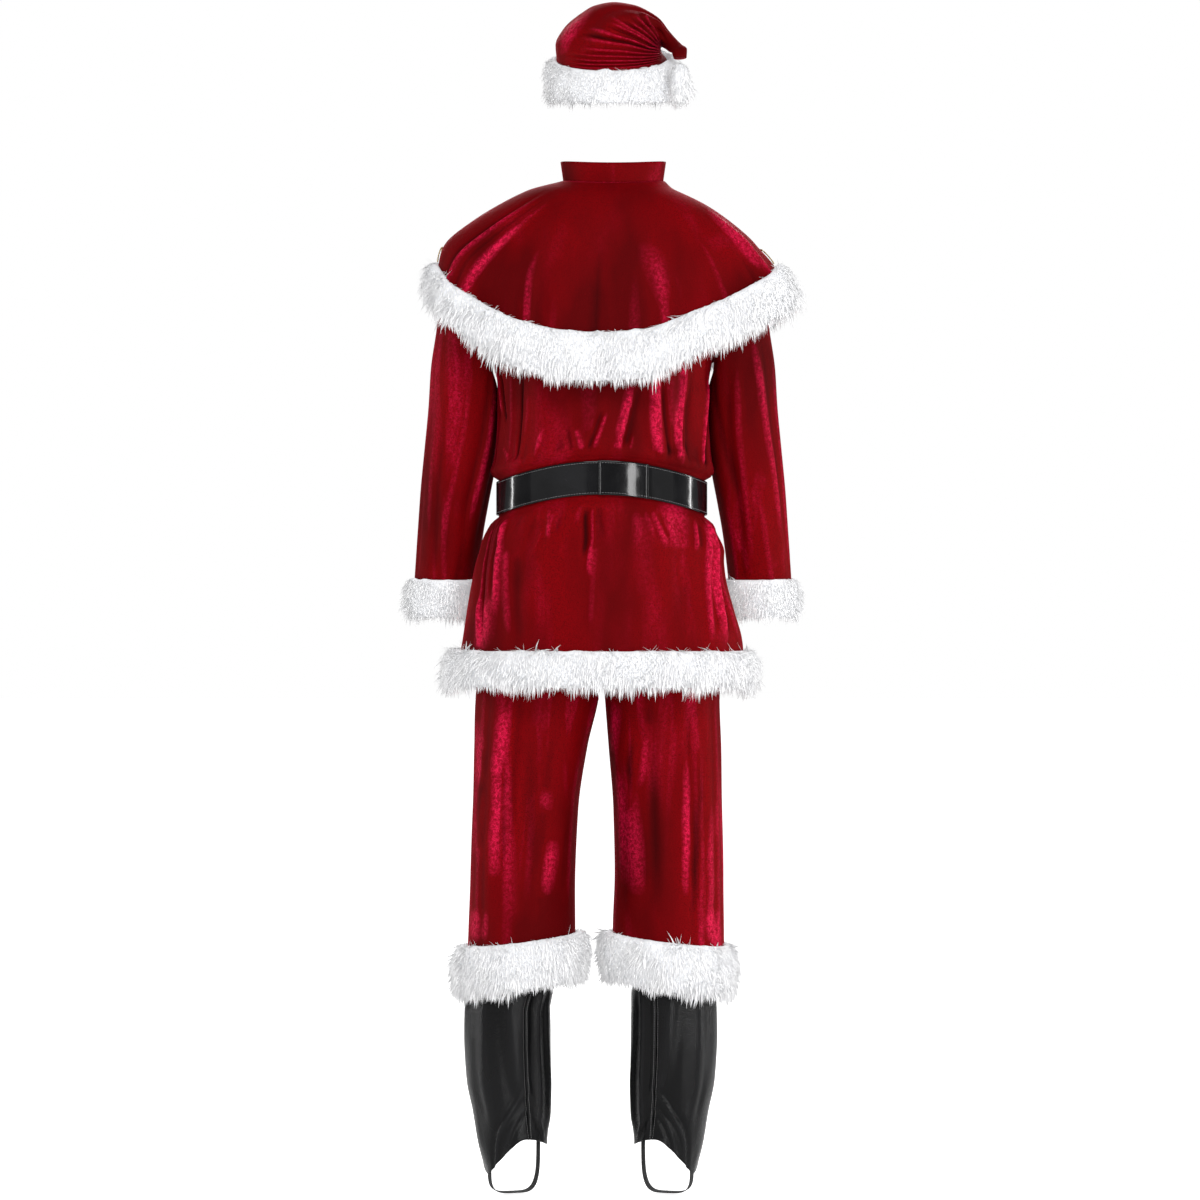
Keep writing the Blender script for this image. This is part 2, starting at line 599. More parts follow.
def seam_roll(degrees, width):
    """How far the cloth sinks into the side seams, at 0 and 180 degrees."""
    return SEAM_ROLL * max(bump(apart(degrees, 0.0), width), bump(apart(degrees, 180.0), width))


def jacket_panel(name, first, last, columns, raised_front, streaks):
    """One panel of the jacket between two angles, from the hem to the shoulder."""
    angles = [first + (last - first) * k / columns for k in range(columns + 1)]
    rows = [HEM + (CHEST - HEM) * k / JACKET_STEPS for k in range(JACKET_STEPS + 1)]
    rows += [CHEST + k / SHOULDER_STEPS for k in range(1, SHOULDER_STEPS + 1)]
    grid = [[jacket_point(a, row) for a in angles] for row in rows]
    rolls = [seam_roll(a, JACKET_ROLL_DEGREES) for a in angles]
    creases = [[fold_height(JACKET_FINE, a, row) + roll for a, roll in zip(angles, rolls)] for row in rows]
    rises = [[lap_rise(a) if raised_front else 0.0 for a in angles] for row in rows]
    piece = cloth(name, grid, creases, velvet(name + "_velvet", streaks), rises)
    folds = []
    for row in rows:
        share = (1.0 if row <= CHEST else FOLD_MARK_ABOVE) / FOLD_MARK
        folds += [fold_height(JACKET_FOLDS, a, min(row, CHEST)) * share for a in angles]
    mark_nap(piece, grid, JACKET_PRESSED, folds)
    worn(piece, "red_velvet", name.replace("velvet_", ""))


jacket_panel("velvet_jacket_back", 0.0, 180.0, BACK_COLUMNS, False, 0.15)
half_lap = FRONT_LAP_DEGREES / 2
jacket_panel("velvet_jacket_front_right", 180.0, 270.0 + half_lap, FRONT_COLUMNS, False, 0.2)
jacket_panel("velvet_jacket_front_left", 270.0 - half_lap, 360.0, FRONT_COLUMNS, True, 0.2)


# Sleeves: one tube of velvet for each arm, set into the armhole and hanging to the wrist with the elbow a
# little forward. Long soft creases run down from the shoulder and break at the elbow.
# Columns: outer x, its height, inner x, its height, centre y, half depth
SLEEVE_ROWS = (
    (0.1832, 1.5091, 0.1650, 1.3049, 0.000, 0.0717),
    (0.2060, 1.4972, 0.1755, 1.3040, -0.002, 0.0715),
    (0.2330, 1.4670, 0.1745, 1.2870, -0.010, 0.0710),
    (0.2490, 1.4200, 0.1675, 1.2600, -0.022, 0.0690),
    (0.2590, 1.3500, 0.1645, 1.2250, -0.031, 0.0665),
    (0.2680, 1.2900, 0.1645, 1.1950, -0.036, 0.0645),
    (0.2720, 1.2300, 0.1670, 1.1600, -0.041, 0.0620),
    (0.2790, 1.1600, 0.1740, 1.1200, -0.046, 0.0600),
    (0.2855, 1.1000, 0.1820, 1.0800, -0.056, 0.0585),
    (0.2900, 1.0450, 0.1900, 1.0370, -0.068, 0.0570),
    (0.2940, 0.9950, 0.1965, 0.9930, -0.081, 0.0555),
    (0.2965, 0.9600, 0.2005, 0.9600, -0.091, 0.0545),
    (0.2978, 0.9330, 0.2030, 0.9330, -0.098, 0.0535),
    (0.2990, 0.9060, 0.2050, 0.9060, -0.104, 0.0530),
)
# Main folds. Columns: degrees around the arm, upper end in rows, lower end in rows, half width, depth
SLEEVE_FOLDS = (
    (60, 3.0, 8.0, 16, 0.0040),
    (120, 4.0, 9.5, 15, -0.0045),
    (205, 5.0, 10.0, 16, -0.0035),
    (300, 3.5, 9.0, 18, 0.0040),
    (20, 7.5, 11.0, 14, -0.0035),
)
# Fine creases. Columns: degrees at the upper end, that end in rows, degrees at the lower end, that end in
# rows, half width, depth
SLEEVE_CREASES = {
    1: (
        (150, 3.0, 128, 8.5, 6, 0.0030),
        (138, 3.0, 116, 8.5, 5, -0.0022),
        (98, 4.5, 82, 9.0, 5, 0.0018),
        (60, 6.0, 70, 10.5, 6, -0.0018),
        (40, 4.0, 52, 9.0, 6, 0.0018),
        (172, 4.5, 150, 9.5, 6, -0.0026),
        (75, 8.0, 95, 12.0, 6, 0.0016),
        (120, 9.0, 104, 12.5, 6, -0.0016),
    ),
    -1: (
        (146, 3.0, 120, 7.5, 6, -0.0024),
        (64, 4.0, 44, 9.0, 6, 0.0034),
        (50, 4.0, 32, 9.0, 5, -0.0022),
        (96, 4.0, 104, 10.0, 6, 0.0018),
        (112, 4.0, 122, 11.0, 5, -0.0018),
        (26, 5.0, 14, 10.0, 6, 0.0026),
        (80, 8.0, 66, 12.5, 6, 0.0018),
        (140, 8.0, 134, 12.5, 6, 0.0020),
    ),
}
SLEEVE_SIDES, SLEEVE_STEPS = 68, 96


def ring_between(row, sides, fold=None):
    """Points of the ellipse that spans a row's outer and inner point, counterclockwise from the outer."""
    outer_x, outer_z, inner_x, inner_z, centre_y, half_depth = row
    outer, inner = Vector((outer_x, centre_y, outer_z + GROUND)), Vector((inner_x, centre_y, inner_z + GROUND))
    middle, across = (outer + inner) / 2, (outer - inner) / 2
    points = []
    for k in range(sides):
        turn = 2 * math.pi * k / sides
        out = 1.0 + (fold(math.degrees(turn)) / across.length if fold else 0.0)
        back = Vector((0, half_depth * out * math.sin(turn), 0))
        points.append(middle + across * out * math.cos(turn) + back)
    return points


def crease_height(creases, degrees, place, edge=0.9):
    """How far a tube's creases stand out at an angle and a place between its rows."""
    total = 0.0
    for upper_at, upper, lower_at, lower, half_width, depth in creases:
        at = upper_at + (lower_at - upper_at) * (place - upper) / (lower - upper)
        total += depth * bump(apart(degrees, at), half_width) * fade(place, upper, lower, edge)
    return total


sleeve_row = curve_through([(k, *row) for k, row in enumerate(SLEEVE_ROWS)])


def sleeve_fold(degrees, place):
    return sum(
        depth * bump(apart(degrees, at), width) * fade(place, first, last, 1.0)
        for at, first, last, width, depth in SLEEVE_FOLDS
    )


def sleeve_ring(side, place, sides):
    """The sleeve's ring at a place between its rows; column k of the right one mirrors the left's."""
    points = ring_between(sleeve_row(place), sides, lambda degrees: sleeve_fold(degrees, place))
    if side < 0:
        points = [Vector((-p.x, p.y, p.z)) for p in points]
        points = [points[-k] for k in range(len(points))]
    return points


for side, side_name in ((1, "left"), (-1, "right")):
    places = [(len(SLEEVE_ROWS) - 1) * (1.0 - k / SLEEVE_STEPS) for k in range(SLEEVE_STEPS + 1)]
    grid = [sleeve_ring(side, place, SLEEVE_SIDES) for place in places]
    angles = [360.0 * k / SLEEVE_SIDES for k in range(SLEEVE_SIDES)]
    if side < 0:
        angles = [360.0 - degrees for degrees in angles]
    creases = [[crease_height(SLEEVE_CREASES[side], a, place) for a in angles] for place in places]
    name = f"velvet_sleeve_{side_name}"
    sleeve = cloth(name, grid, creases, velvet(name, 0.4), closed=True)
    worn(sleeve, "red_velvet", f"sleeve_{side_name}")


# Fur of the jacket's hem and wrists: strips of white artificial fur sewn round the edges, with the pile
# combed down and out. Each strip is a full roll of pile under thousands of hairs and pointed locks.
# Outline of a strip cut across. Columns: share of the way down, share of the depth, share of the hang
FUR_OUTLINE = (
    (0.00, 0.00, 0.00),
    (-0.02, 0.22, 0.00),
    (0.00, 0.50, 0.00),
    (0.07, 0.76, 0.00),
    (0.20, 0.93, 0.00),
    (0.38, 1.00, 0.00),
    (0.56, 1.00, 0.00),
    (0.74, 0.93, 0.02),
    (0.88, 0.80, 0.16),
    (0.96, 0.58, 0.42),
    (1.00, 0.34, 0.60),
    (1.00, 0.12, 0.40),
    (1.00, 0.00, 0.00),
    (0.50, 0.00, 0.00),
)
FUR_FACES_OUT = 11
ROOT_GREY, TIP_WHITE, SHADE_GREY = (0.66, 0.67, 0.69, 1.0), (0.95, 0.95, 0.95, 1.0), (0.82, 0.82, 0.84, 1.0)
HEM_FUR_TOP, FUR_GLOW, FUR_RAGGED, FUR_AT_TOP = 0.848, 0.36, 0.010, 0.3
HAIR_STRAY, HAIR_LENGTHS, LOCK_WIDER, LOCK_LONGER, LOCK_BEND = 0.34, (0.55, 1.1), 4.0, 1.25, 2.4

pile_shade, pile_in = node_group(
    "pile_shade",
    "ShaderNodeTree",
    (
        ("Tip", "NodeSocketFloat", 0.0),
        ("Chance", "NodeSocketFloat", 0.5),
        ("Place", "NodeSocketVector"),
        ("Outward", "NodeSocketVector", (0.0, 0.0, 1.0)),
    ),
    (("Colour", "NodeSocketColor"), ("Normal", "NodeSocketVector")),
)
clump = grained(pile_shade, pile_in["Place"], 34.0, 3.0)
white = mixed(pile_shade, ranged(pile_shade, clump, 0.66, 0.42, 0.0, 0.55), TIP_WHITE, SHADE_GREY)
white = mixed(pile_shade, maths(pile_shade, "MULTIPLY", pile_in["Chance"], 0.35), white, SHADE_GREY)
white = mixed(pile_shade, ranged(pile_shade, pile_in["Tip"], 0.0, 0.45), ROOT_GREY, white)
hair = grained(pile_shade, pile_in["Place"], 260.0, 2.0)
own = scaled(pile_shade, put(pile_shade, "ShaderNodeNewGeometry").outputs["Normal"], 0.35)
own = vectors(pile_shade, "ADD", own, pile_in["Outward"])
own = put(pile_shade, "ShaderNodeVectorMath", {0: own}, operation="NORMALIZE").outputs[0]
inputs = {"Strength": 0.3, "Distance": 0.002, "Height": hair, "Normal": own}
hair_bump = put(pile_shade, "ShaderNodeBump", inputs)
put(pile_shade, "NodeGroupOutput", {"Colour": white, "Normal": hair_bump.outputs["Normal"]})


def pile(name):
    """White artificial fur: grey in the depth of the pile and white at the tips."""
    made, tree, shader, place = new_finish(name)
    inputs = {
        "Tip": put(tree, "ShaderNodeAttribute", attribute_name="tip").outputs["Fac"],
        "Chance": put(tree, "ShaderNodeAttribute", attribute_name="chance").outputs["Fac"],
        "Outward": put(tree, "ShaderNodeAttribute", attribute_name="outward").outputs["Vector"],
        "Place": place,
    }
    effect = put(tree, "ShaderNodeGroup", inputs, node_tree=pile_shade).outputs
    fill(tree, shader, {
        "Base Color": effect["Colour"],
        "Emission Color": effect["Colour"],
        "Emission Strength": FUR_GLOW,
        "Normal": effect["Normal"],
        "Roughness": 0.85,
        "Specular IOR Level": 0.2,
        "Sheen Weight": 0.25,
    })
    return made


def stored(tree, geometry, label, value, kind, domain):
    """A geometry that carries a value as a named attribute."""
    inputs = {"Geometry": geometry, "Name": label, "Value": value}
    return put(tree, "GeometryNodeStoreNamedAttribute", inputs, data_type=kind, domain=domain).outputs[0]


def chosen(tree, seed, kind, low, high):
    """A random number or vector for each hair, between two bounds."""
    made = put(tree, "FunctionNodeRandomValue", {"Seed": seed}, data_type=kind)
    first = 0 if kind == "FLOAT_VECTOR" else 2
    made.inputs[first].default_value, made.inputs[first + 1].default_value = low, high
    return made.outputs[0 if kind == "FLOAT_VECTOR" else 1]


def hairs(tree, source, salt, density, length, width, bend, segments):
    """Tapered three-sided hairs scattered over the outer faces of a strip, combed down and out."""
    seed = put(tree, "FunctionNodeInputInt", integer=salt).outputs[0]
    seed = put(tree, "ShaderNodeMath", {0: source["Seed"], 1: seed}, operation="ADD").outputs[0]
    outer_faces = put(tree, "GeometryNodeInputNamedAttribute", {"Name": "pile"}, data_type="FLOAT").outputs[0]
    density = maths(tree, "MULTIPLY", density, outer_faces)
    roots = put(
        tree,
        "GeometryNodeDistributePointsOnFaces",
        {"Mesh": source["Strip"], "Density": density, "Seed": seed},
        distribute_method="RANDOM",
    )
    place = put(tree, "GeometryNodeInputPosition").outputs[0]
    locks = {"Vector": place, "Scale": source["Locks per metre"]}
    sway = put(tree, "ShaderNodeTexNoise", {**locks, "Detail": 1.0}).outputs["Color"]
    sway = scaled(tree, vectors(tree, "SUBTRACT", sway, (0.5, 0.5, 0.5)), source["Sway"])
    stray = chosen(tree, seed, "FLOAT_VECTOR", (-HAIR_STRAY,) * 3, (HAIR_STRAY,) * 3)
    way = vectors(tree, "ADD", scaled(tree, roots.outputs["Normal"], source["Lift"]), source["Combed"])
    way = vectors(tree, "ADD", vectors(tree, "ADD", way, sway), stray)
    turn = put(tree, "FunctionNodeAlignRotationToVector", {"Vector": way}, axis="Z")
    turn = put(
        tree,
        "FunctionNodeAlignRotationToVector",
        {"Rotation": turn.outputs[0], "Vector": source["Combed"]},
        axis="X",
        pivot_axis="Z",
    )
    cone = put(
        tree,
        "GeometryNodeMeshCone",
        {"Vertices": 3, "Side Segments": segments, "Radius Top": 0.0, "Radius Bottom": 1.0, "Depth": 1.0},
        fill_type="NGON",
    )
    up = put(tree, "ShaderNodeSeparateXYZ", {0: put(tree, "GeometryNodeInputPosition").outputs[0]}).outputs["Z"]
    swing = maths(tree, "MULTIPLY", maths(tree, "MULTIPLY", up, up), bend)
    shift = put(tree, "ShaderNodeCombineXYZ", {"X": swing})
    bent = put(tree, "GeometryNodeSetPosition", {"Geometry": cone.outputs["Mesh"], "Offset": shift.outputs[0]})
    marked = stored(tree, bent.outputs[0], "tip", up, "FLOAT", "POINT")
    spread = chosen(tree, seed, "FLOAT", *HAIR_LENGTHS)
    reach = put(tree, "ShaderNodeTexNoise", {**locks, "Detail": 2.0}).outputs["Fac"]
    reach = ranged(tree, reach, 0.38, 0.62, 0.50, 1.22)
    long = maths(tree, "MULTIPLY", maths(tree, "MULTIPLY", spread, reach), length)
    size = put(tree, "ShaderNodeCombineXYZ", {"X": width, "Y": width, "Z": long}).outputs[0]
    inputs = {"Points": roots.outputs["Points"], "Instance": marked, "Rotation": turn.outputs[0], "Scale": size}
    grown = put(tree, "GeometryNodeInstanceOnPoints", inputs).outputs[0]
    shaded = stored(tree, grown, "chance", chosen(tree, seed, "FLOAT", 0.0, 1.0), "FLOAT", "INSTANCE")
    return stored(tree, shaded, "outward", roots.outputs["Normal"], "FLOAT_VECTOR", "INSTANCE")


long_pile, source = node_group(
    "long_pile",
    "GeometryNodeTree",
    (
        ("Strip", "NodeSocketGeometry"),
        ("Hairs", "NodeSocketFloat", 63000.0),
        ("Locks", "NodeSocketFloat", 9000.0),
        ("Length", "NodeSocketFloat", 0.020),
        ("Width", "NodeSocketFloat", 0.0007),
        ("Lift", "NodeSocketFloat", 0.6),
        ("Combed", "NodeSocketVector", (0.0, 0.0, -1.0)),
        ("Sway", "NodeSocketFloat", 1.75),
        ("Locks per metre", "NodeSocketFloat", 28.0),
        ("Seed", "NodeSocketInt", 1),
        ("Finish", "NodeSocketMaterial"),
    ),
    (("Fur", "NodeSocketGeometry"),),
)
normal = put(long_pile, "GeometryNodeInputNormal").outputs[0]
backing = stored(long_pile, source["Strip"], "outward", normal, "FLOAT_VECTOR", "POINT")
fine = hairs(long_pile, source, 0, source["Hairs"], source["Length"], source["Width"], 0.0, 1)
wide = maths(long_pile, "MULTIPLY", source["Width"], LOCK_WIDER)
longer = maths(long_pile, "MULTIPLY", source["Length"], LOCK_LONGER)
tufts = hairs(long_pile, source, 7, source["Locks"], longer, wide, LOCK_BEND, 2)
together = put(long_pile, "GeometryNodeJoinGeometry")
for part in (tufts, fine, backing):
    long_pile.links.new(part, together.inputs[0])


def finished(tree, label, geometry, material):
    """Ends a group: its instances become plain faces of one material."""
    plain = put(tree, "GeometryNodeRealizeInstances", {0: geometry}).outputs[0]
    coloured = put(tree, "GeometryNodeSetMaterial", {"Geometry": plain, "Material": material}).outputs[0]
    put(tree, "NodeGroupOutput", {label: coloured})


finished(long_pile, "Fur", together.outputs[0], source["Finish"])


def made_plain(piece, group, values):
    """Runs a group on a piece with values for its named inputs, and keeps the result as a plain mesh."""
    run = piece.modifiers.new(group.name, "NODES")
    run.node_group = group
    sockets = {item.name: item.identifier for item in group.interface.items_tree if item.in_out == "INPUT"}
    for label, value in values.items():
        run[sockets[label]] = value
    piece.update_tag()
    plain = bpy.data.meshes.new_from_object(piece.evaluated_get(bpy.context.evaluated_depsgraph_get()))
    piece.modifiers.clear()
    piece.data = plain


def furred(piece, node, **sizes):
    """Grows the pile on a strip and puts it in the place of its solid."""
    made_plain(piece, long_pile, {**sizes, "Finish": pile(piece.name)})
    piece.data.shade_smooth()
    worn(piece, "white_fur", node)


def joined(bm, loops, closed):
    """Faces between loops of vertices, with end caps where they are open; each has its place in a loop."""
    count, faces = len(loops[0]), []
    for a, b in zip(loops, loops[1:] + (loops[:1] if closed else [])):
        for k in range(count):
            n = (k + 1) % count
            faces.append((k, bm.faces.new((a[k], b[k], b[n], a[n]))))
    if not closed:
        bm.faces.new(loops[0])
        bm.faces.new(loops[-1])
    bmesh.ops.recalc_face_normals(bm, faces=bm.faces)
    return faces


def strip(name, band, columns, depth, hang, closed=True, lumps=0.16):
    """A roll of pile round an edge. band(k, down) gives a column's point and outward direction at a share
    of the way down; the roll's surface swells and sinks in soft lumps."""
    bm = bmesh.new()
    outer_faces, loops = bm.faces.layers.float.new("pile"), []
    for k in range(columns):
        spots = [band(k, min(1.0, max(0.0, down))) for down, _, _ in FUR_OUTLINE]
        top, foot = spots[0][0], spots[FUR_FACES_OUT + 1][0]
        lower, tall = (foot - top).normalized(), (foot - top).length
        loop = []
        for (down, out, hanging), (point, outward) in zip(FUR_OUTLINE, spots):
            swell = 1.0 + lumps * noise.noise(point * 30.0) + lumps * 0.6 * noise.noise(point * 75.0)
            spot = point + outward * (LIFT_ON_CLOTH + depth * out * swell)
            spot += lower * (hang * hanging * swell + (down - min(1.0, max(0.0, down))) * tall)
            if down < 0.1:
                spot -= lower * FUR_RAGGED * max(0.0, noise.noise(point * 60.0)) * out
            loop.append(bm.verts.new(spot))
        loops.append(loop)
    for k, face in joined(bm, loops, closed):
        face[outer_faces] = 0.0 if k >= FUR_FACES_OUT else (FUR_AT_TOP if k < 2 else 1.0)
    return from_bmesh(name, bm)


def ring_outward(ring, k, upward):
    """The outward direction at point k of a counterclockwise ring, for the way up the cloth there."""
    return (ring[(k + 1) % len(ring)] - ring[k - 1]).cross(upward).normalized()


def across_and_up(surface, degrees, row, turn=0.6, step=0.003):
    """The outward direction of a surface given by an angle and a row."""
    around = surface(degrees + turn, row) - surface(degrees - turn, row)
    return around.cross(surface(degrees, row + step) - surface(degrees, row - step)).normalized()


HEM_COLUMNS = 230
hem_from, hem_to = 270.0 - FRONT_LAP_DEGREES / 2, 630.0 + FRONT_LAP_DEGREES / 2 - 0.4


def hem_band(k, down):
    degrees = hem_from + (hem_to - hem_from) * k / (HEM_COLUMNS - 1)
    height = HEM + (HEM_FUR_TOP - HEM) * (1.0 - down)
    outward = across_and_up(jacket_body, degrees, max(HEM + 0.004, height))
    return jacket_body(degrees, height) + outward * (CLOTH + lap_rise(degrees)), outward


hem_fur = strip("fur_jacket_hem", hem_band, HEM_COLUMNS, depth=0.0190, hang=0.0110, closed=False)
furred(hem_fur, "jacket_hem_fur", Hairs=171000.0, Locks=22000.0, Length=0.019, Width=0.00045, Lift=0.85, Seed=3)

CUFF_COLUMNS, CUFF_ROWS = 90, 2.0
for side, side_name in ((1, "left"), (-1, "right")):

    @cache
    def wrist_ring(place, side=side):
        return [Vector((side * p.x, p.y, p.z)) for p in ring_between(sleeve_row(place), CUFF_COLUMNS)]

    def wrist_band(k, down, side=side, ring=wrist_ring):
        place = len(SLEEVE_ROWS) - 1 - CUFF_ROWS * (1.0 - down)
        here, high = ring(place), ring(place - 0.1)
        outward = ring_outward(here, k, high[k] - here[k]) * side
        return here[k] + outward * (CLOTH + LIFT_ON_CLOTH), outward

    furred(
        strip(f"fur_sleeve_{side_name}", wrist_band, CUFF_COLUMNS, depth=0.0105, hang=0.0075),
        f"sleeve_fur_{side_name}",
        Hairs=207000.0, Locks=26000.0, Length=0.014, Width=0.0004, Lift=0.85, Seed=5,
    )


# Shoulder cape: one piece of velvet shaped over the shoulders and open down the front, with a stand
# collar, a wide strip of fur along its hem and a gold braid sewn above the fur on the fronts. Folds run
# from the neck to the left edge, and a short one falls at the middle of the back.
# Columns: share of the way down, centre x, half width, height at the side, depth behind, height behind,
# depth in front, height in front
CAPE_ROWS = (
    (0.00, -0.016, 0.0790, 1.5790, 0.0760, 1.5700, 0.0800, 1.5480),
    (0.14, 0.002, 0.1160, 1.5640, 0.0980, 1.5500, 0.1100, 1.5230),
    (0.30, 0.001, 0.1570, 1.5440, 0.1180, 1.5150, 0.1340, 1.4830),
    (0.48, 0.003, 0.2020, 1.5150, 0.1350, 1.4650, 0.1490, 1.4340),
    (0.64, 0.005, 0.2370, 1.4850, 0.1460, 1.4120, 0.1560, 1.3860),
    (0.80, -0.003, 0.2570, 1.4520, 0.1520, 1.3380, 0.1590, 1.3360),
    (1.00, -0.012, 0.2700, 1.4070, 0.1560, 1.2730, 0.1620, 1.2750),
)
CAPE_SQUARENESS, CAPE_SQUARE_FROM, CAPE_SHOULDER_DROP = 2.35, 0.4, 1.6
CAPE_MIDDLE_AT_HEM, CAPE_FOLD_GROWS, CAPE_EDGE_SHARE = -0.006, 0.35, 0.005
CAPE_FUR_FROM, CAPE_OPENING_DEGREES = 0.80, 0.8
# Columns: degrees around, how much the hem hangs lower there, how much further out it stands
CAPE_HEM = (
    (0, 0.000, 0.000),
    (30, 0.004, 0.004),
    (55, 0.006, 0.000),
    (78, 0.008, 0.002),
    (98, 0.004, 0.000),
    (118, -0.016, 0.004),
    (140, -0.006, 0.002),
    (160, 0.004, 0.008),
    (180, 0.010, 0.010),
    (205, 0.004, 0.004),
    (235, 0.004, 0.000),
    (270, 0.000, 0.000),
    (305, 0.004, 0.000),
    (335, 0.004, 0.003),
    (360, 0.000, 0.000),
)
# Columns: degrees at the neck, degrees at the hem, share where it starts, half width, depth
CAPE_FOLDS = (
    (52, 24, 0.15, 6, 0.0045),
    (62, 36, 0.15, 5, -0.0030),
    (66, 57, 0.35, 6, 0.0040),
    (90, 88, 0.30, 5, -0.0040),
    (105, 112, 0.35, 7, 0.0035),
    (126, 140, 0.25, 7, -0.0030),
    (150, 160, 0.30, 7, 0.0035),
    (215, 205, 0.25, 8, 0.0035),
    (240, 238, 0.30, 7, -0.0030),
    (300, 302, 0.30, 7, -0.0030),
    (325, 336, 0.25, 8, 0.0035),
)
# Fine creases, in the same columns
CAPE_CREASES = (
    (44, 15, 0.10, 1.4, -0.0030),
    (49, 19, 0.10, 1.5, 0.0034),
    (54, 25, 0.10, 1.4, -0.0030),
    (60, 31, 0.12, 1.6, 0.0030),
    (60, 62, 0.45, 2.2, -0.0018),
    (63, 66, 0.42, 1.3, 0.0028),
    (68, 70, 0.45, 2.0, -0.0016),
    (76, 74, 0.50, 2.2, 0.0012),
    (88, 86.6, 0.40, 0.9, -0.0026),
    (90.2, 89.0, 0.62, 0.9, 0.0028),
    (98, 96, 0.45, 2.4, 0.0014),
    (104, 107, 0.46, 1.2, 0.0022),
    (108, 111, 0.50, 1.6, -0.0016),
    (128, 133, 0.30, 2.4, 0.0018),
    (146, 152, 0.30, 2.2, -0.0020),
    (156, 164, 0.25, 2.4, 0.0022),
    (228, 222, 0.35, 2.5, -0.0020),
    (310, 316, 0.35, 2.5, 0.0022),
)
# Columns: height above the neck's edge, lean outward
COLLAR_ROWS = ((-0.003, 0.000), (0.004, 0.000), (0.011, 0.001), (0.018, 0.002), (0.025, 0.003), (0.032, 0.004))
COLLAR_OPENING_DEGREES, COLLAR_COLUMNS = 1.5, 96
# Streaks pressed into the nap behind, in the same columns as the jacket's
CAPE_PRESSED = (
    (-0.165, 1.535, -0.240, 1.440, 0.014, 0.9),
    (0.130, 1.500, 0.215, 1.400, 0.009, 0.8),
    (-0.060, 1.480, -0.100, 1.380, 0.020, 0.35),
)
CAPE_COLUMNS, CAPE_STEPS, CAPE_FUR_COLUMNS, CAPE_FOLD_MARK = 270, 48, 250, 0.020
CAPE_CREASES_LOST, CAPE_CREASES_END = 0.6, (0.80, 0.95)

cape_row, cape_hem = curve_through(CAPE_ROWS), curve_through(CAPE_HEM)


def cape_fold(folds, degrees, share):
    total = 0.0
    for neck_at, hem_at, start, half_width, depth in folds:
        at = neck_at + (hem_at - neck_at) * share
        total += depth * bump(apart(degrees, at), half_width) * smooth(start, start + CAPE_FOLD_GROWS, share)
    return total


def cape_point(degrees, share):
    """A point of the cape's inner face, from the collar seam (0) to the hem (1)."""
    centre, half_width, side_height, behind, back_height, in_front, front_height = cape_row(share)
    c, s = math.cos(math.radians(degrees)), math.sin(math.radians(degrees))
    power = 2.0 / (2.0 + (CAPE_SQUARENESS - 2.0) * smooth(0.0, CAPE_SQUARE_FROM, share))
    lower, further = cape_hem(degrees % 360.0)
    depth, middle_height = (behind, back_height) if s > 0 else (in_front, front_height)
    out = 1.0 + (cape_fold(CAPE_FOLDS, degrees, share) + further * share ** 2) / half_width
    middle = CAPE_ROWS[0][1] + (CAPE_MIDDLE_AT_HEM - CAPE_ROWS[0][1]) * share
    down = side_height + (middle_height - side_height) * abs(s) ** CAPE_SHOULDER_DROP - lower * share ** 2
    return Vector((
        middle + (centre - middle) * abs(c) + half_width * out * math.copysign(abs(c) ** power, c),
        depth * out * math.copysign(abs(s) ** power, s),
        down + GROUND,
    ))


def cape_outward(degrees, share):
    inside = min(1.0 - CAPE_EDGE_SHARE, max(CAPE_EDGE_SHARE, share))
    return across_and_up(lambda a, row: cape_point(a, 1.0 - row), degrees, 1.0 - inside, 0.5, 0.002)


def open_angles(columns, opening):
    """Angles from one front edge round the back to the other."""
    return [-90.0 + opening + (360.0 - 2 * opening) * k / columns for k in range(columns + 1)]


angles = open_angles(CAPE_COLUMNS, CAPE_OPENING_DEGREES)
shares = [1.0 - k / CAPE_STEPS for k in range(CAPE_STEPS + 1)]
grid = [[cape_point(a, share) for a in angles] for share in shares]
creases = []
for share in shares:
    kept = 1.0 - CAPE_CREASES_LOST * smooth(*CAPE_CREASES_END, share)
    creases.append([cape_fold(CAPE_CREASES, a, share) * kept for a in angles])
cape = cloth("velvet_cape", grid, creases, velvet("velvet_cape", 0.12, (16.0, 16.0, 5.0)))
folds = [cape_fold(CAPE_FOLDS, a, share) / CAPE_FOLD_MARK for share in shares for a in angles]
mark_nap(cape, grid, CAPE_PRESSED, folds)
worn(cape, "red_velvet", "cape_body")

grid = []
for height, lean in COLLAR_ROWS:
    row = []
    for a in open_angles(COLLAR_COLUMNS, COLLAR_OPENING_DEGREES):
        neck = cape_point(a, 0.0)
        outward = Vector((neck.x - CAPE_ROWS[0][1], neck.y, 0.0)).normalized()
        row.append(neck - outward * (CLOTH + LIFT_ON_CLOTH - lean) + Vector((0, 0, height)))
    grid.append(row)
creases = [[0.0] * len(row) for row in grid]
collar = cloth("velvet_collar", grid, creases, velvet("velvet_collar", 0.3))
worn(collar, "red_velvet", "cape_collar")

fur_angles = open_angles(CAPE_FUR_COLUMNS - 1, CAPE_OPENING_DEGREES)


def cape_band(k, down):
    share = CAPE_FUR_FROM + (1.0 - CAPE_FUR_FROM) * down
    outward = cape_outward(fur_angles[k], share)
    return cape_point(fur_angles[k], share) + outward * CLOTH, outward


cape_fur = strip("fur_cape", cape_band, CAPE_FUR_COLUMNS, depth=0.0165, hang=0.0105, closed=False)
furred(cape_fur, "cape_fur", Hairs=153000.0, Locks=20000.0, Length=0.020, Width=0.00045, Lift=0.75, Seed=9)

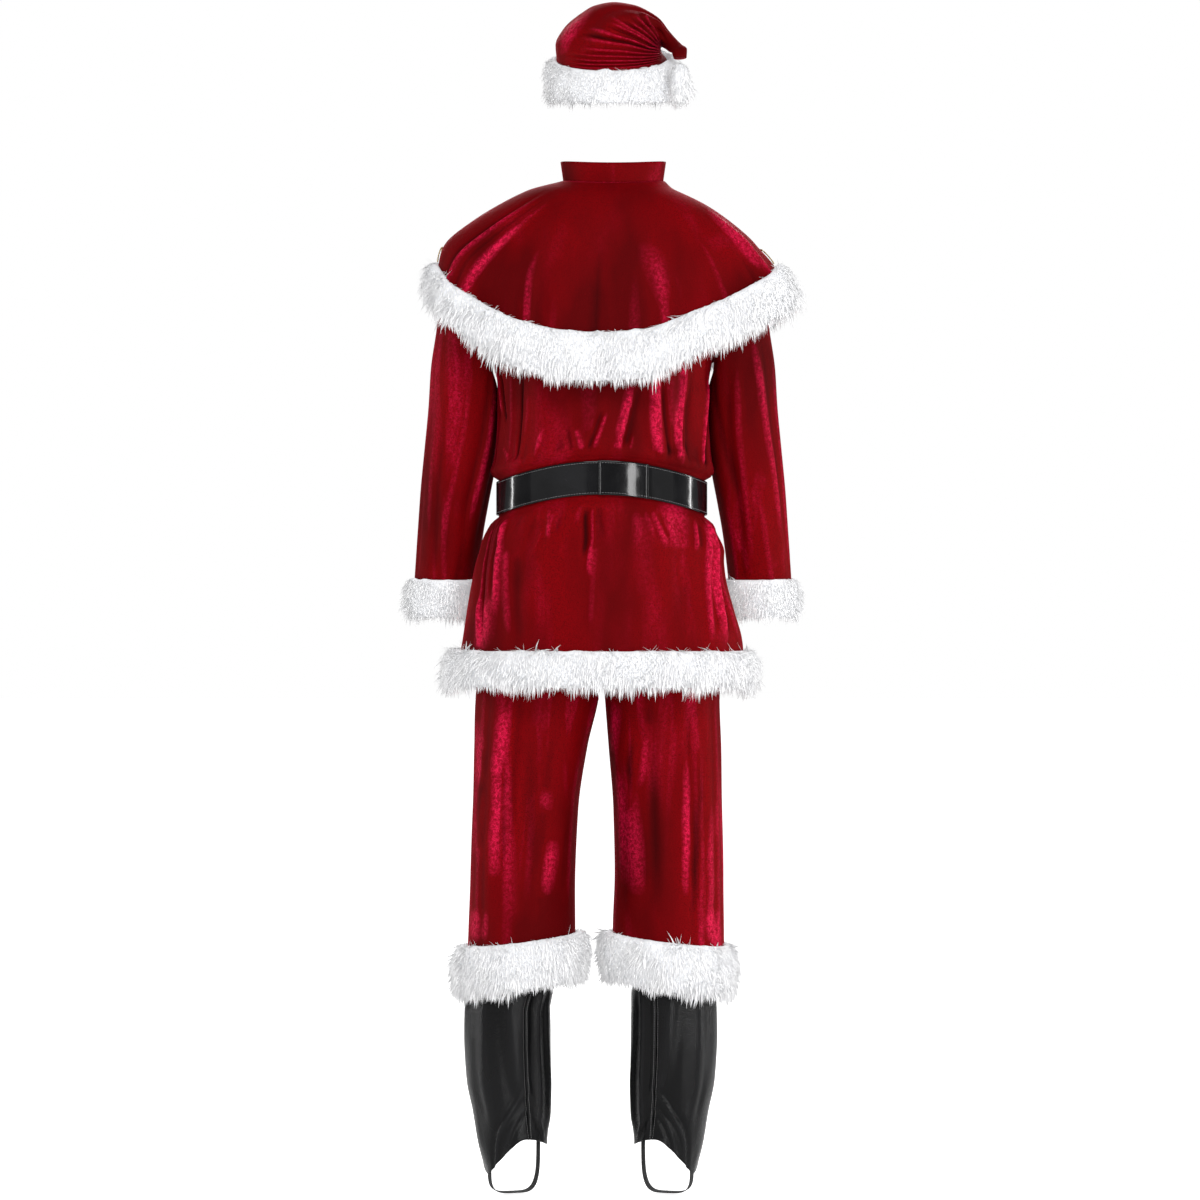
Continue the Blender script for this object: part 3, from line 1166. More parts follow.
# Gold braid: three fine cords plaited into a narrow flat band.
BRAID_STEPS, BRAID_FROM_DEGREES, BRAID_END_DEGREES = 396, 4.0, 96.0
BRAID_ABOVE_FUR, BRAID_CURL_FROM, BRAID_CURL_RISE, BRAID_CURL_TURNS = 0.07, 0.86, 0.05, 1.4
BRAID_LIFT, BRAID_CORD, BRAID_WAVE, BRAID_PITCH = 0.0024, 0.0007, 0.0010, 0.0052
gold_thread, tree, shader, place = new_finish("gold_braid")
thread = ranged(tree, grained(tree, place, 900.0, 2.0), 0.35, 0.65)
fill(tree, shader, {
    "Base Color": mixed(tree, thread, (0.42, 0.24, 0.05, 1.0), (0.86, 0.62, 0.22, 1.0)),
    "Metallic": 0.75,
    "Roughness": 0.38,
})


def cord_tube(bm, points, radius, sides=6):
    """A closed tube of round cord through points."""
    rings, turns = [], [2 * math.pi * s / sides for s in range(sides)]
    for k, point in enumerate(points):
        way = (points[min(k + 1, len(points) - 1)] - points[max(k - 1, 0)]).normalized()
        first = way.cross(Vector((0.0, 0.0, 1.0))).normalized()
        second = way.cross(first)
        outward = [first * math.cos(a) + second * math.sin(a) for a in turns]
        rings.append([bm.verts.new(point + out * radius) for out in outward])
    for a, b in zip(rings, rings[1:]):
        for s in range(sides):
            bm.faces.new((a[s], a[(s + 1) % sides], b[(s + 1) % sides], b[s]))
    bm.faces.new(rings[0])
    bm.faces.new(rings[-1])


for side, side_name in ((1, "left"), (-1, "right")):
    path = []
    for k in range(BRAID_STEPS + 1):
        along_front = k / BRAID_STEPS
        around = BRAID_FROM_DEGREES + (BRAID_END_DEGREES - BRAID_FROM_DEGREES) * along_front
        degrees = -90.0 + side * around
        share = CAPE_FUR_FROM - BRAID_ABOVE_FUR
        if along_front > BRAID_CURL_FROM:
            curl = (along_front - BRAID_CURL_FROM) / (1.0 - BRAID_CURL_FROM)
            share -= BRAID_CURL_RISE * math.sin(math.pi * curl * BRAID_CURL_TURNS)
        outward = cape_outward(degrees, share)
        path.append((cape_point(degrees, share) + outward * (CLOTH + BRAID_LIFT), outward))
    bm = bmesh.new()
    for strand in range(3):
        walked, points = 0.0, []
        for k, (point, outward) in enumerate(path):
            step = path[min(k + 1, len(path) - 1)][0] - path[max(k - 1, 0)][0]
            walked += step.length / 2
            turn = 2 * math.pi * (walked / BRAID_PITCH + strand / 3)
            sideways = step.cross(outward).normalized()
            over = outward * BRAID_CORD * 0.7 * math.sin(2 * turn)
            points.append(point + sideways * BRAID_WAVE * math.sin(turn) + over)
        cord_tube(bm, points, BRAID_CORD)
    bmesh.ops.recalc_face_normals(bm, faces=bm.faces)
    worn(from_bmesh(f"braid_{side_name}", bm, gold_thread), "gold_braid", f"cape_braid_{side_name}")


# Hat: a velvet crown folded over to the wearer's right, a fur strip round the brow and a long-haired
# pompom on the tail. The folds fan out over the crown from where it doubles over.
# Columns: left x, its height, right x, its height, centre y, half depth, drop for each metre back
CROWN_ROWS = (
    (0.0730, 1.7100, -0.1090, 1.7100, 0.000, 0.0990, 0.18),
    (0.0735, 1.7450, -0.1070, 1.7480, 0.000, 0.0990, 0.28),
    (0.0705, 1.7700, -0.0980, 1.7690, 0.000, 0.0980, 0.32),
    (0.0720, 1.7930, -0.0920, 1.7765, 0.000, 0.0970, 0.30),
    (0.0595, 1.8180, -0.0895, 1.7815, 0.000, 0.0950, 0.26),
    (0.0320, 1.8420, -0.0885, 1.7850, 0.000, 0.0910, 0.21),
    (0.0120, 1.8535, -0.0880, 1.7875, 0.000, 0.0860, 0.16),
    (-0.0160, 1.8585, -0.0880, 1.7900, 0.002, 0.0760, 0.12),
    (-0.0460, 1.8540, -0.0885, 1.7920, 0.004, 0.0620, 0.08),
    (-0.0700, 1.8430, -0.0895, 1.7930, 0.007, 0.0480, 0.04),
    (-0.0880, 1.8290, -0.0915, 1.7920, 0.012, 0.0360, 0.00),
    (-0.0995, 1.8125, -0.0945, 1.7890, 0.022, 0.0270, 0.00),
    (-0.1110, 1.7970, -0.0990, 1.7840, 0.036, 0.0200, 0.00),
    (-0.1205, 1.7850, -0.1035, 1.7780, 0.052, 0.0160, 0.00),
    (-0.1275, 1.7770, -0.1075, 1.7740, 0.067, 0.0125, 0.00),
    (-0.1265, 1.7630, -0.1105, 1.7622, 0.082, 0.0095, 0.00),
)
# Main folds. Columns: degrees around, first row, last row, half width in degrees, depth
CROWN_FOLDS = (
    (48, 3.5, 10.5, 9, -0.0035),
    (72, 3.5, 10.5, 9, 0.0035),
    (100, 4.0, 10.5, 9, -0.0035),
    (128, 5.0, 11.0, 10, 0.0030),
    (235, 4.0, 10.5, 10, -0.0035),
    (270, 4.0, 10.5, 10, 0.0035),
    (305, 4.0, 10.5, 10, -0.0030),
)
# Creases that fan out. Columns: place between the rows at the left end, place at the right end, degrees
# from and to, half width in rows, depth
CROWN_CREASES = (
    (2.10, 2.55, 30, 150, 0.09, 0.0020),
    (2.22, 2.75, 36, 150, 0.08, -0.0026),
    (2.36, 2.95, 40, 156, 0.09, 0.0022),
    (2.50, 3.15, 34, 160, 0.08, -0.0028),
    (2.64, 3.35, 40, 160, 0.10, 0.0024),
    (2.82, 3.62, 30, 165, 0.09, -0.0024),
    (3.00, 3.85, 44, 168, 0.11, 0.0024),
    (3.22, 4.15, 50, 168, 0.10, -0.0026),
    (3.45, 4.42, 50, 170, 0.12, 0.0026),
    (3.72, 4.72, 60, 171, 0.12, -0.0020),
    (3.95, 4.98, 40, 172, 0.13, 0.0026),
    (4.18, 5.18, 36, 172, 0.14, -0.0044),
    (4.48, 5.42, 40, 172, 0.14, 0.0034),
    (4.85, 5.70, 70, 172, 0.13, -0.0020),
    (5.20, 5.92, 60, 172, 0.15, -0.0030),
    (5.50, 6.15, 60, 172, 0.14, 0.0030),
    (5.90, 6.45, 50, 172, 0.16, 0.0022),
    (6.30, 6.80, 66, 172, 0.15, -0.0030),
    (6.60, 7.02, 74, 172, 0.15, 0.0026),
    (7.05, 7.35, 60, 172, 0.17, -0.0022),
    (7.40, 7.65, 60, 172, 0.17, 0.0024),
    (7.85, 8.00, 56, 172, 0.18, -0.0022),
    (8.25, 8.35, 50, 172, 0.18, 0.0020),
    (2.60, 3.20, 200, 320, 0.14, -0.0022),
    (3.00, 3.70, 196, 320, 0.14, 0.0022),
    (3.40, 4.20, 190, 316, 0.16, -0.0022),
    (4.20, 5.20, 190, 310, 0.18, 0.0026),
    (4.70, 5.60, 190, 310, 0.18, -0.0026),
    (5.60, 6.30, 190, 300, 0.20, 0.0022),
)
# Streaks pressed into the nap behind, in the same columns as the jacket's
HAT_PRESSED = ((0.022, 1.856, 0.058, 1.790, 0.015, 1.1), (0.050, 1.830, 0.062, 1.770, 0.008, 0.8))
# Columns: from place, to place, steps between them
CROWN_STEPS = ((0.0, 1.8, 8), (1.8, 9.0, 160), (9.0, 15.0, 40))
CROWN_SIDES, HAT_BAND_TOP, HAT_FUR_COLUMNS = 88, 2, 120
crown_row = curve_through([(k, *row) for k, row in enumerate(CROWN_ROWS)])


def crown_ring(place, sides):
    """The hat's ring at a place between its rows, counted from 0 at the brow."""
    *row, drop = crown_row(place)

    def fold(degrees):
        return sum(
            depth * bump(apart(degrees, at), width) * fade(place, first, last, 1.2)
            for at, first, last, width, depth in CROWN_FOLDS
        )

    return [point - Vector((0, 0, drop * point.y)) for point in ring_between(row, sides, fold)]


def fan_height(degrees, place):
    """How far the fanned creases stand out; the angle runs from the left end to the right one."""
    total = 0.0
    for left, right, first, last, half_width, depth in CROWN_CREASES:
        share = (degrees - first) / (last - first)
        if not 0.0 < share < 1.0:
            continue
        at = left + (right - left) * (share if last < 180 else 1.0 - share)
        total += depth * bump(place - at, half_width) * fade(share, 0.12, 0.94, 0.12)
    return total


places = [first + (last - first) * k / steps for first, last, steps in CROWN_STEPS for k in range(steps)]
places.append(CROWN_STEPS[-1][1])
grid = [crown_ring(place, CROWN_SIDES) for place in places]
creases = [[fan_height(360.0 * k / CROWN_SIDES, place) for k in range(CROWN_SIDES)] for place in places]
crown = cloth("velvet_hat", grid, creases, velvet("velvet_hat", 0.12, (8.0, 8.0, 8.0)), closed=True, tip=True)
mark_nap(crown, grid, HAT_PRESSED)
worn(crown, "red_velvet", "hat_crown")


@cache
def brow_ring(place):
    return crown_ring(place, HAT_FUR_COLUMNS)


def brow_band(k, down):
    place = HAT_BAND_TOP * (1.0 - down)
    low_place = max(0.0, place - 0.05)
    here, low, high = brow_ring(place), brow_ring(low_place), brow_ring(low_place + 0.1)
    outward = ring_outward(here, k, high[k] - low[k])
    return here[k] + outward * CLOTH, outward


brow_fur = strip("fur_hat_band", brow_band, HAT_FUR_COLUMNS, depth=0.0120, hang=0.0060)
furred(brow_fur, "hat_band_fur", Hairs=216000.0, Locks=24000.0, Length=0.012, Width=0.0004, Lift=0.8, Seed=13)

# Pompom: long hair tied at its root to the tail's tip.
POMPOM_CENTRE, POMPOM_CORE = (-0.1190, 0.0925, 1.7215 + GROUND), (0.0150, 0.0150, 0.0300)
bm = bmesh.new()
bmesh.ops.create_uvsphere(bm, u_segments=28, v_segments=22, radius=1.0)
bmesh.ops.scale(bm, vec=POMPOM_CORE, verts=bm.verts)
bmesh.ops.translate(bm, vec=POMPOM_CENTRE, verts=bm.verts)
everywhere = bm.faces.layers.float.new("pile")
for face in bm.faces:
    face[everywhere] = 1.0
furred(
    from_bmesh("fur_pompom", bm),
    "hat_pompom",
    Hairs=380000.0, Locks=50000.0, Length=0.0125, Width=0.0004, Lift=0.75,
    Combed=(0.0, 0.0, -0.8), Sway=0.8, Seed=17,
)


# Belt: a wide strap of black patent, its ends fastened by a plain gold buckle in front, with a keeper for
# the loose end and a folded sleeve of the same patent sewn round it behind. Both edges are stitched.
BELT_HEIGHT, BELT_THICKNESS, BELT_LIFT, BELT_COLUMNS = 0.052, 0.0026, 0.0012, 216
# Columns: solid's name, from degrees, to degrees, sections between them
BELT_LOOPS = (("belt_back_sleeve", 88.0, 116.0, 112), ("belt_keeper", 284.0, 288.0, 24))
LOOP_GAP, LOOP_THICKNESS, LOOP_RIMS, BELT_EDGE, BELT_SWELL = 0.0006, 0.0016, 0.0009, 0.0007, 0.0001
STITCH_LENGTH, STITCH_WIDTH, STITCH_STEP, STITCH_INSET, STITCH_LIFT = 0.0026, 0.0004, 0.0042, 0.0030, 0.0001
# Stitched lines. Columns: from degrees, to degrees, steps between them, height above the strap's inner face
STITCHED = (
    (0.0, 360.0, 240, BELT_THICKNESS),
    (89.0, 115.0, 24, BELT_THICKNESS + LOOP_GAP + LOOP_THICKNESS),
)

patent, tree, shader, place = new_finish("black_patent")
ripple = grained(tree, place, 16.0, 2.0)
dim, lit = (0.002, 0.002, 0.0025, 1.0), (0.007, 0.007, 0.008, 1.0)
fill(tree, shader, {
    "Base Color": mixed(tree, ranged(tree, ripple, 0.35, 0.7), dim, lit),
    "Roughness": ranged(tree, grained(tree, place, 500.0, 2.0), 0.3, 0.8, 0.10, 0.22),
    "Normal": bumped(tree, 0.5, 0.004, ripple),
    "Specular IOR Level": 0.15,
    "Coat Weight": 0.20,
    "Coat Roughness": 0.05,
})


def waist_point(degrees, up, out):
    """A point round the waist: up from the belt's middle line, out from the smooth jacket's outer face."""
    spot = jacket_body(degrees, BELT_MIDDLE, folded=False)
    beside = jacket_body(degrees + 1.0, BELT_MIDDLE, folded=False)
    outward = (beside - spot).cross(Vector((0, 0, 1))).normalized()
    return spot + outward * (CLOTH + BELT_LIFT + lap_rise(degrees) + out) + Vector((0, 0, up))


def belt_band(name, first, last, columns, half, inner, outer, closed, rims=0.0):
    """A band of patent with rounded edges that wraps the waist between two angles; rims thicken its ends."""
    soft = min(BELT_EDGE, (outer - inner) / 2.2)
    outline = (
        (-half + soft, inner), (half - soft, inner), (half, inner + soft), (half, outer - soft),
        (half - soft, outer), (half - 3 * soft, outer), (0.0, outer + BELT_SWELL), (-half + 3 * soft, outer),
        (-half + soft, outer), (-half, outer - soft), (-half, inner + soft),
    )
    bm = bmesh.new()
    loops = []
    for k in range(columns if closed else columns + 1):
        a = first + (last - first) * k / columns
        rim = rims * (bump(a - first - 0.5, 0.6) + bump(a - last + 0.5, 0.6))
        spots = [waist_point(a, up, out + (rim if out > inner + soft else 0.0)) for up, out in outline]
        loops.append([bm.verts.new(spot) for spot in spots])
    joined(bm, loops, closed)
    return from_bmesh(name, bm, patent, sharp=50)


half, inner = BELT_HEIGHT / 2, BELT_THICKNESS + LOOP_GAP
belt = belt_band("patent_strap", 0.0, 360.0, BELT_COLUMNS, half, 0.0, BELT_THICKNESS, True)
worn(belt, "black_patent", "belt_strap")
for name, first, last, columns in BELT_LOOPS:
    band_name, outer = name.replace("belt", "patent"), inner + LOOP_THICKNESS
    loop = belt_band(band_name, first, last, columns, half + LOOP_GAP, inner, outer, False, LOOP_RIMS)
    worn(loop, "black_patent", name)

# Stitches: short straight threads at an even step along a seam.
stitching, source = node_group(
    "stitching",
    "GeometryNodeTree",
    (
        ("Seam", "NodeSocketGeometry"),
        ("Step", "NodeSocketFloat"),
        ("Length", "NodeSocketFloat"),
        ("Width", "NodeSocketFloat"),
        ("Thread", "NodeSocketMaterial"),
    ),
    (("Stitches", "NodeSocketGeometry"),),
)
seam = put(stitching, "GeometryNodeMeshToCurve", {0: source["Seam"]}).outputs[0]
inputs = {"Curve": seam, "Length": source["Step"]}
stops = put(stitching, "GeometryNodeCurveToPoints", inputs, mode="LENGTH").outputs
size = {"Vertices": 6, "Radius": source["Width"], "Depth": source["Length"]}
thread = put(stitching, "GeometryNodeMeshCylinder", size, fill_type="NGON").outputs["Mesh"]
turned = put(stitching, "FunctionNodeAlignRotationToVector", {"Vector": stops["Tangent"]}, axis="Z").outputs[0]
inputs = {"Points": stops["Points"], "Instance": thread, "Rotation": turned}
sewn = put(stitching, "GeometryNodeInstanceOnPoints", inputs).outputs[0]
finished(stitching, "Stitches", sewn, source["Thread"])


def yarn(name, dark, light):
    """Twisted sewing thread."""
    made, tree, shader, place = new_finish(name)
    twist = ranged(tree, grained(tree, place, 1500.0, 2.0), 0.35, 0.65)
    fill(tree, shader, {"Base Color": mixed(tree, twist, dark, light), "Roughness": 0.6})
    return made


def sewn_along(name, lines, finish, step=STITCH_STEP, length=STITCH_LENGTH, width=STITCH_WIDTH):
    """Rows of stitches along lines of points."""
    mesh = bpy.data.meshes.new(name)
    points, edges = [], []
    for line in lines:
        edges += [(len(points) + k, len(points) + k + 1) for k in range(len(line) - 1)]
        points += line
    mesh.from_pydata(points, edges, [])
    piece = placed(name, mesh)
    made_plain(piece, stitching, {"Step": step, "Length": length, "Width": width, "Thread": finish})
    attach(piece, "root")


lines = []
for first, last, steps, out in STITCHED:
    angles = [first + (last - first) * k / steps for k in range(steps + 1)]
    for height in (STITCH_INSET - half, half - STITCH_INSET):
        lines.append([waist_point(a, height, out + STITCH_LIFT) for a in angles])
grey_thread = yarn("grey_thread", (0.06, 0.06, 0.06, 1.0), (0.22, 0.22, 0.23, 1.0))
sewn_along("belt_stitches", lines, grey_thread)

# Buckle: a cast rectangular frame with softened edges and a round prong across it.
BUCKLE_HALF_WIDTH, BUCKLE_HALF_HEIGHT, BUCKLE_BAR, BUCKLE_DEPTH = 0.038, 0.034, 0.0085, 0.0050
BUCKLE_STAND_OFF, BUCKLE_BEVEL, PRONG_RADIUS, PRONG_STEPS, SEAM = 0.0070, 0.0011, 0.0022, 12, 0.0003
gold, tree, shader, place = new_finish("gold_metal")
brushed = grained(tree, vectors(tree, "MULTIPLY", place, (60.0, 60.0, 900.0)), 1.0, 2.0)
dim, lit = (0.62, 0.41, 0.10, 1.0), (0.78, 0.56, 0.18, 1.0)
fill(tree, shader, {
    "Base Color": mixed(tree, ranged(tree, brushed, 0.3, 0.7), dim, lit),
    "Roughness": ranged(tree, brushed, 0.3, 0.7, 0.18, 0.34),
    "Metallic": 1.0,
})

front = waist_point(270.0, 0.0, BELT_THICKNESS)
middle = Vector((front.x, front.y - BUCKLE_STAND_OFF, front.z))
bm = bmesh.new()
bmesh.ops.create_cube(bm, size=1.0)
bmesh.ops.scale(bm, vec=(2 * BUCKLE_HALF_WIDTH, BUCKLE_DEPTH, 2 * BUCKLE_HALF_HEIGHT), verts=bm.verts)
faces = [f for f in bm.faces if abs(f.normal.y) > 0.9]
bmesh.ops.inset_individual(bm, faces=faces, thickness=BUCKLE_BAR, use_even_offset=True)
bmesh.ops.bridge_loops(bm, edges=[e for f in faces for e in f.edges])
bmesh.ops.delete(bm, geom=faces, context="FACES_ONLY")
bmesh.ops.recalc_face_normals(bm, faces=bm.faces)
bmesh.ops.bevel(bm, geom=list(bm.edges), offset=BUCKLE_BEVEL, segments=3, profile=0.6, affect="EDGES")
bmesh.ops.translate(bm, vec=middle, verts=bm.verts)
worn(from_bmesh("buckle", bm, gold, sharp=35), "gold_metal", "belt_buckle_frame")

reach = BUCKLE_HALF_WIDTH - BUCKLE_BAR - SEAM
bm = bmesh.new()
points = [middle + Vector((reach * (2 * k / PRONG_STEPS - 1.0), 0.0, 0.0)) for k in range(PRONG_STEPS + 1)]
cord_tube(bm, points, PRONG_RADIUS, sides=20)
bmesh.ops.recalc_face_normals(bm, faces=bm.faces)
worn(from_bmesh("prong", bm, gold, sharp=50), "gold_metal", "belt_prong")


# Trousers: a front and a back panel of the same velvet for each leg, an elastic waistband inside the
# jacket, and a deep strip of fur round each hem. The nap is pressed into long bright streaks.
# Columns: height, left centre x, left half width, right centre x, right half width, depth behind, depth in
# front, how far the ring dips on its outer side
TROUSER_ROWS = (
    (0.335, 0.1280, 0.0830, -0.1020, 0.0850, 0.0860, 0.0860, 0.014),
    (0.400, 0.1270, 0.0820, -0.1020, 0.0850, 0.0850, 0.0850, 0.011),
    (0.500, 0.1250, 0.0800, -0.1030, 0.0830, 0.0840, 0.0840, 0.004),
    (0.600, 0.1210, 0.0805, -0.1010, 0.0830, 0.0850, 0.0850, 0.000),
    (0.700, 0.1125, 0.0865, -0.0965, 0.0860, 0.0890, 0.0880, 0.000),
    (0.772, 0.1030, 0.0940, -0.0925, 0.0875, 0.0940, 0.0920, 0.000),
    (0.830, 0.0960, 0.0960, -0.0910, 0.0910, 0.0990, 0.0950, 0.000),
    (0.880, 0.0640, 0.1210, -0.0600, 0.1190, 0.1060, 0.0990, 0.000),
    (0.940, 0.0320, 0.1430, -0.0300, 0.1430, 0.1080, 0.1010, 0.000),
    (1.000, 0.0000, 0.1560, 0.0000, 0.1560, 0.1030, 0.1000, 0.000),
)
CROTCH, WAIST, WAISTBAND_HEIGHT, WAISTBAND_GAP = 0.830, 1.000, 0.036, 0.0015
# Columns: left or right leg, degrees around, upper height, lower height, half width, depth
TROUSER_FOLDS = (
    (1, 50, 0.80, 0.45, 12, 0.0040),
    (1, 95, 0.74, 0.42, 12, -0.0040),
    (1, 135, 0.80, 0.52, 12, 0.0035),
    (1, 235, 0.78, 0.46, 14, -0.0035),
    (1, 300, 0.80, 0.45, 14, 0.0035),
    (-1, 45, 0.78, 0.44, 12, 0.0035),
    (-1, 85, 0.80, 0.50, 12, -0.0040),
    (-1, 130, 0.76, 0.42, 12, 0.0040),
    (-1, 240, 0.80, 0.46, 14, -0.0035),
    (-1, 305, 0.78, 0.45, 14, 0.0035),
)
# Fine creases, in the same columns
TROUSER_CREASES = (
    (1, 34, 0.80, 0.42, 5, 0.0016),
    (1, 44, 0.78, 0.40, 4, -0.0014),
    (1, 66, 0.80, 0.52, 5, 0.0018),
    (1, 75, 0.80, 0.56, 5, -0.0016),
    (1, 112, 0.72, 0.44, 5, -0.0014),
    (1, 150, 0.70, 0.46, 6, 0.0014),
    (-1, 28, 0.78, 0.42, 4, 0.0018),
    (-1, 35, 0.78, 0.42, 4, -0.0014),
    (-1, 58, 0.76, 0.42, 4, 0.0022),
    (-1, 65, 0.76, 0.42, 4, -0.0016),
    (-1, 105, 0.80, 0.50, 5, -0.0016),
    (-1, 150, 0.80, 0.50, 6, 0.0014),
)
# Streaks pressed into the nap behind, in the same columns as the jacket's; a negative one lies dark
TROUSERS_PRESSED = (
    (0.1960, 0.745, 0.1850, 0.640, 0.008, 1.0),
    (0.1540, 0.760, 0.1590, 0.660, 0.010, 1.1),
    (0.1600, 0.690, 0.1700, 0.500, 0.008, 1.2),
    (0.1950, 0.680, 0.2000, 0.520, 0.012, 0.7),
    (0.2000, 0.450, 0.2010, 0.400, 0.012, 1.0),
    (0.1790, 0.450, 0.1830, 0.400, 0.005, 0.8),
    (0.0900, 0.640, 0.0870, 0.600, 0.010, 0.9),
    (0.0820, 0.560, 0.0930, 0.470, 0.012, 1.0),
    (-0.0250, 0.770, -0.0150, 0.690, 0.008, 0.8),
    (-0.0720, 0.740, -0.0600, 0.640, 0.007, 0.8),
    (-0.0310, 0.660, -0.0560, 0.470, 0.018, 0.8),
    (-0.1330, 0.690, -0.1260, 0.470, 0.006, 1.3),
    (-0.1680, 0.620, -0.1660, 0.400, 0.006, 0.9),
    (-0.1700, 0.450, -0.1760, 0.380, 0.010, 1.1),
    (0.1480, 0.690, 0.1540, 0.520, 0.004, -1.2),
    (0.1820, 0.700, 0.1900, 0.540, 0.004, -1.2),
    (0.1120, 0.720, 0.1080, 0.460, 0.012, -0.5),
    (-0.0450, 0.720, -0.0400, 0.600, 0.005, -1.0),
    (-0.0800, 0.660, -0.0840, 0.440, 0.013, -0.5),
    (-0.1460, 0.700, -0.1440, 0.450, 0.006, -1.1),
)
TROUSER_COLUMNS, LEG_STEPS, SEAT_STEPS, TROUSER_ROLL_DEGREES, LEG_FUR_COLUMNS = 60, 84, 20, 2.2, 150
trouser_row = curve_through(TROUSER_ROWS)


def trouser_fold(folds, side, degrees, height):
    return sum(
        depth * bump(apart(degrees, at), width) * fade(height, low, top, 0.05)
        for leg, at, top, low, width, depth in folds
        if leg == side
    )


def leg_ring_sizes(side, height):
    """A leg's centre, half width, depths behind and in front, and dip."""
    left_x, left_w, right_x, right_w, *rest = trouser_row(height)
    return (left_x, left_w, *rest) if side > 0 else (-right_x, right_w, *rest)


def leg_places(side, height, behind_only, columns):
    """Half a leg's ring from the outer seam to the inner or centre seam: each point and its angle."""
    centre, half_width, behind, in_front, dip = leg_ring_sizes(side, height)
    depth = behind if behind_only else in_front
    last = math.pi
    if height >= CROTCH - 1e-6:
        clip = SEAM / 2 + CLOTH * min(1.0, centre / half_width)
        last = math.acos(max(-1.0, min(1.0, (clip - centre) / half_width)))
    places = []
    for k in range(columns + 1):
        turn = last * k / columns
        degrees = math.degrees(turn) if behind_only else 360.0 - math.degrees(turn)
        out = 1.0 + trouser_fold(TROUSER_FOLDS, side, degrees, height) / half_width
        y = max(depth * out * math.sin(turn), 0.0)
        x = side * (centre + half_width * out * math.cos(turn))
        point = Vector((x, y if behind_only else -y, height + GROUND - dip * math.cos(turn)))
        places.append((point, degrees))
    return places


foot = TROUSER_ROWS[0][0]
heights = [foot + (CROTCH - foot) * k / LEG_STEPS for k in range(LEG_STEPS + 1)]
heights += [CROTCH + (WAIST - CROTCH) * k / SEAT_STEPS for k in range(1, SEAT_STEPS + 1)]
for side, side_name in ((1, "left"), (-1, "right")):
    for behind, where in ((True, "back"), (False, "front")):
        grid, creases = [], []
        for height in heights:
            line = leg_places(side, height, behind, TROUSER_COLUMNS)
            if (side > 0) != behind:
                line = line[::-1]
            grid.append([point for point, _ in line])
            folds = [trouser_fold(TROUSER_CREASES, side, a, height) for _, a in line]
            creases.append([fold + seam_roll(a, TROUSER_ROLL_DEGREES) for fold, (_, a) in zip(folds, line)])
        name = f"velvet_trousers_{where}_{side_name}"
        panel = cloth(name, grid, creases, velvet(name, 0.45, (30.0, 30.0, 2.0)))
        mark_nap(panel, grid, TROUSERS_PRESSED)
        worn(panel, "red_velvet", f"trousers_{where}_{side_name}")

for side, side_name in ((1, "left"), (-1, "right")):

    @cache
    def leg_ring(height, side=side):
        """Points all round one leg below the crotch, counterclockwise from the outer seam's side."""
        centre, half_width, behind, in_front, dip = leg_ring_sizes(side, height)
        points = []
        for k in range(LEG_FUR_COLUMNS):
            turn = 2 * math.pi * k / LEG_FUR_COLUMNS
            depth = behind if math.sin(turn) > 0 else in_front
            x = side * (centre + half_width * math.cos(turn))
            points.append(Vector((x, depth * math.sin(turn), height + GROUND - dip * math.cos(turn))))
        return points

    def leg_band(k, down, side=side, ring=leg_ring):
        here = ring(foot + (TROUSER_ROWS[1][0] - foot) * (1.0 - down))
        outward = ring_outward(here, k, Vector((0, 0, 1))) * side
        return here[k] + outward * (CLOTH + SEAM), outward

    furred(
        strip(f"fur_trousers_{side_name}", leg_band, LEG_FUR_COLUMNS, depth=0.0175, hang=0.0130),
        f"trousers_cuff_fur_{side_name}",
        Hairs=180000.0, Locks=22000.0, Length=0.019, Width=0.00045, Lift=0.8, Seed=21,
    )

# Waistband: a plain tube with elastic inside it, gathered a little.
_, half_width, _, _, behind, in_front, _ = trouser_row(WAIST)
WAISTBAND_SIDES, WAISTBAND_STEPS, WAISTBAND_GATHERS, GATHERS_DEEP = 120, 8, 30, 0.0006
grid, creases = [], []
for k in range(WAISTBAND_STEPS + 1):
    height = WAIST + WAISTBAND_GAP + (WAISTBAND_HEIGHT - WAISTBAND_GAP) * k / WAISTBAND_STEPS
    row, line = [], []
    for j in range(WAISTBAND_SIDES):
        turn = 2 * math.pi * j / WAISTBAND_SIDES
        depth = behind if math.sin(turn) > 0 else in_front
        row.append(Vector((half_width * math.cos(turn), depth * math.sin(turn), height + GROUND)))
        line.append(GATHERS_DEEP * math.sin(turn * WAISTBAND_GATHERS) * math.sin(math.pi * k / WAISTBAND_STEPS))
    grid.append(row)
    creases.append(line)
waistband = cloth("velvet_waistband", grid, creases, velvet("velvet_waistband", 0.3), closed=True)
worn(waistband, "red_velvet", "trousers_waistband")


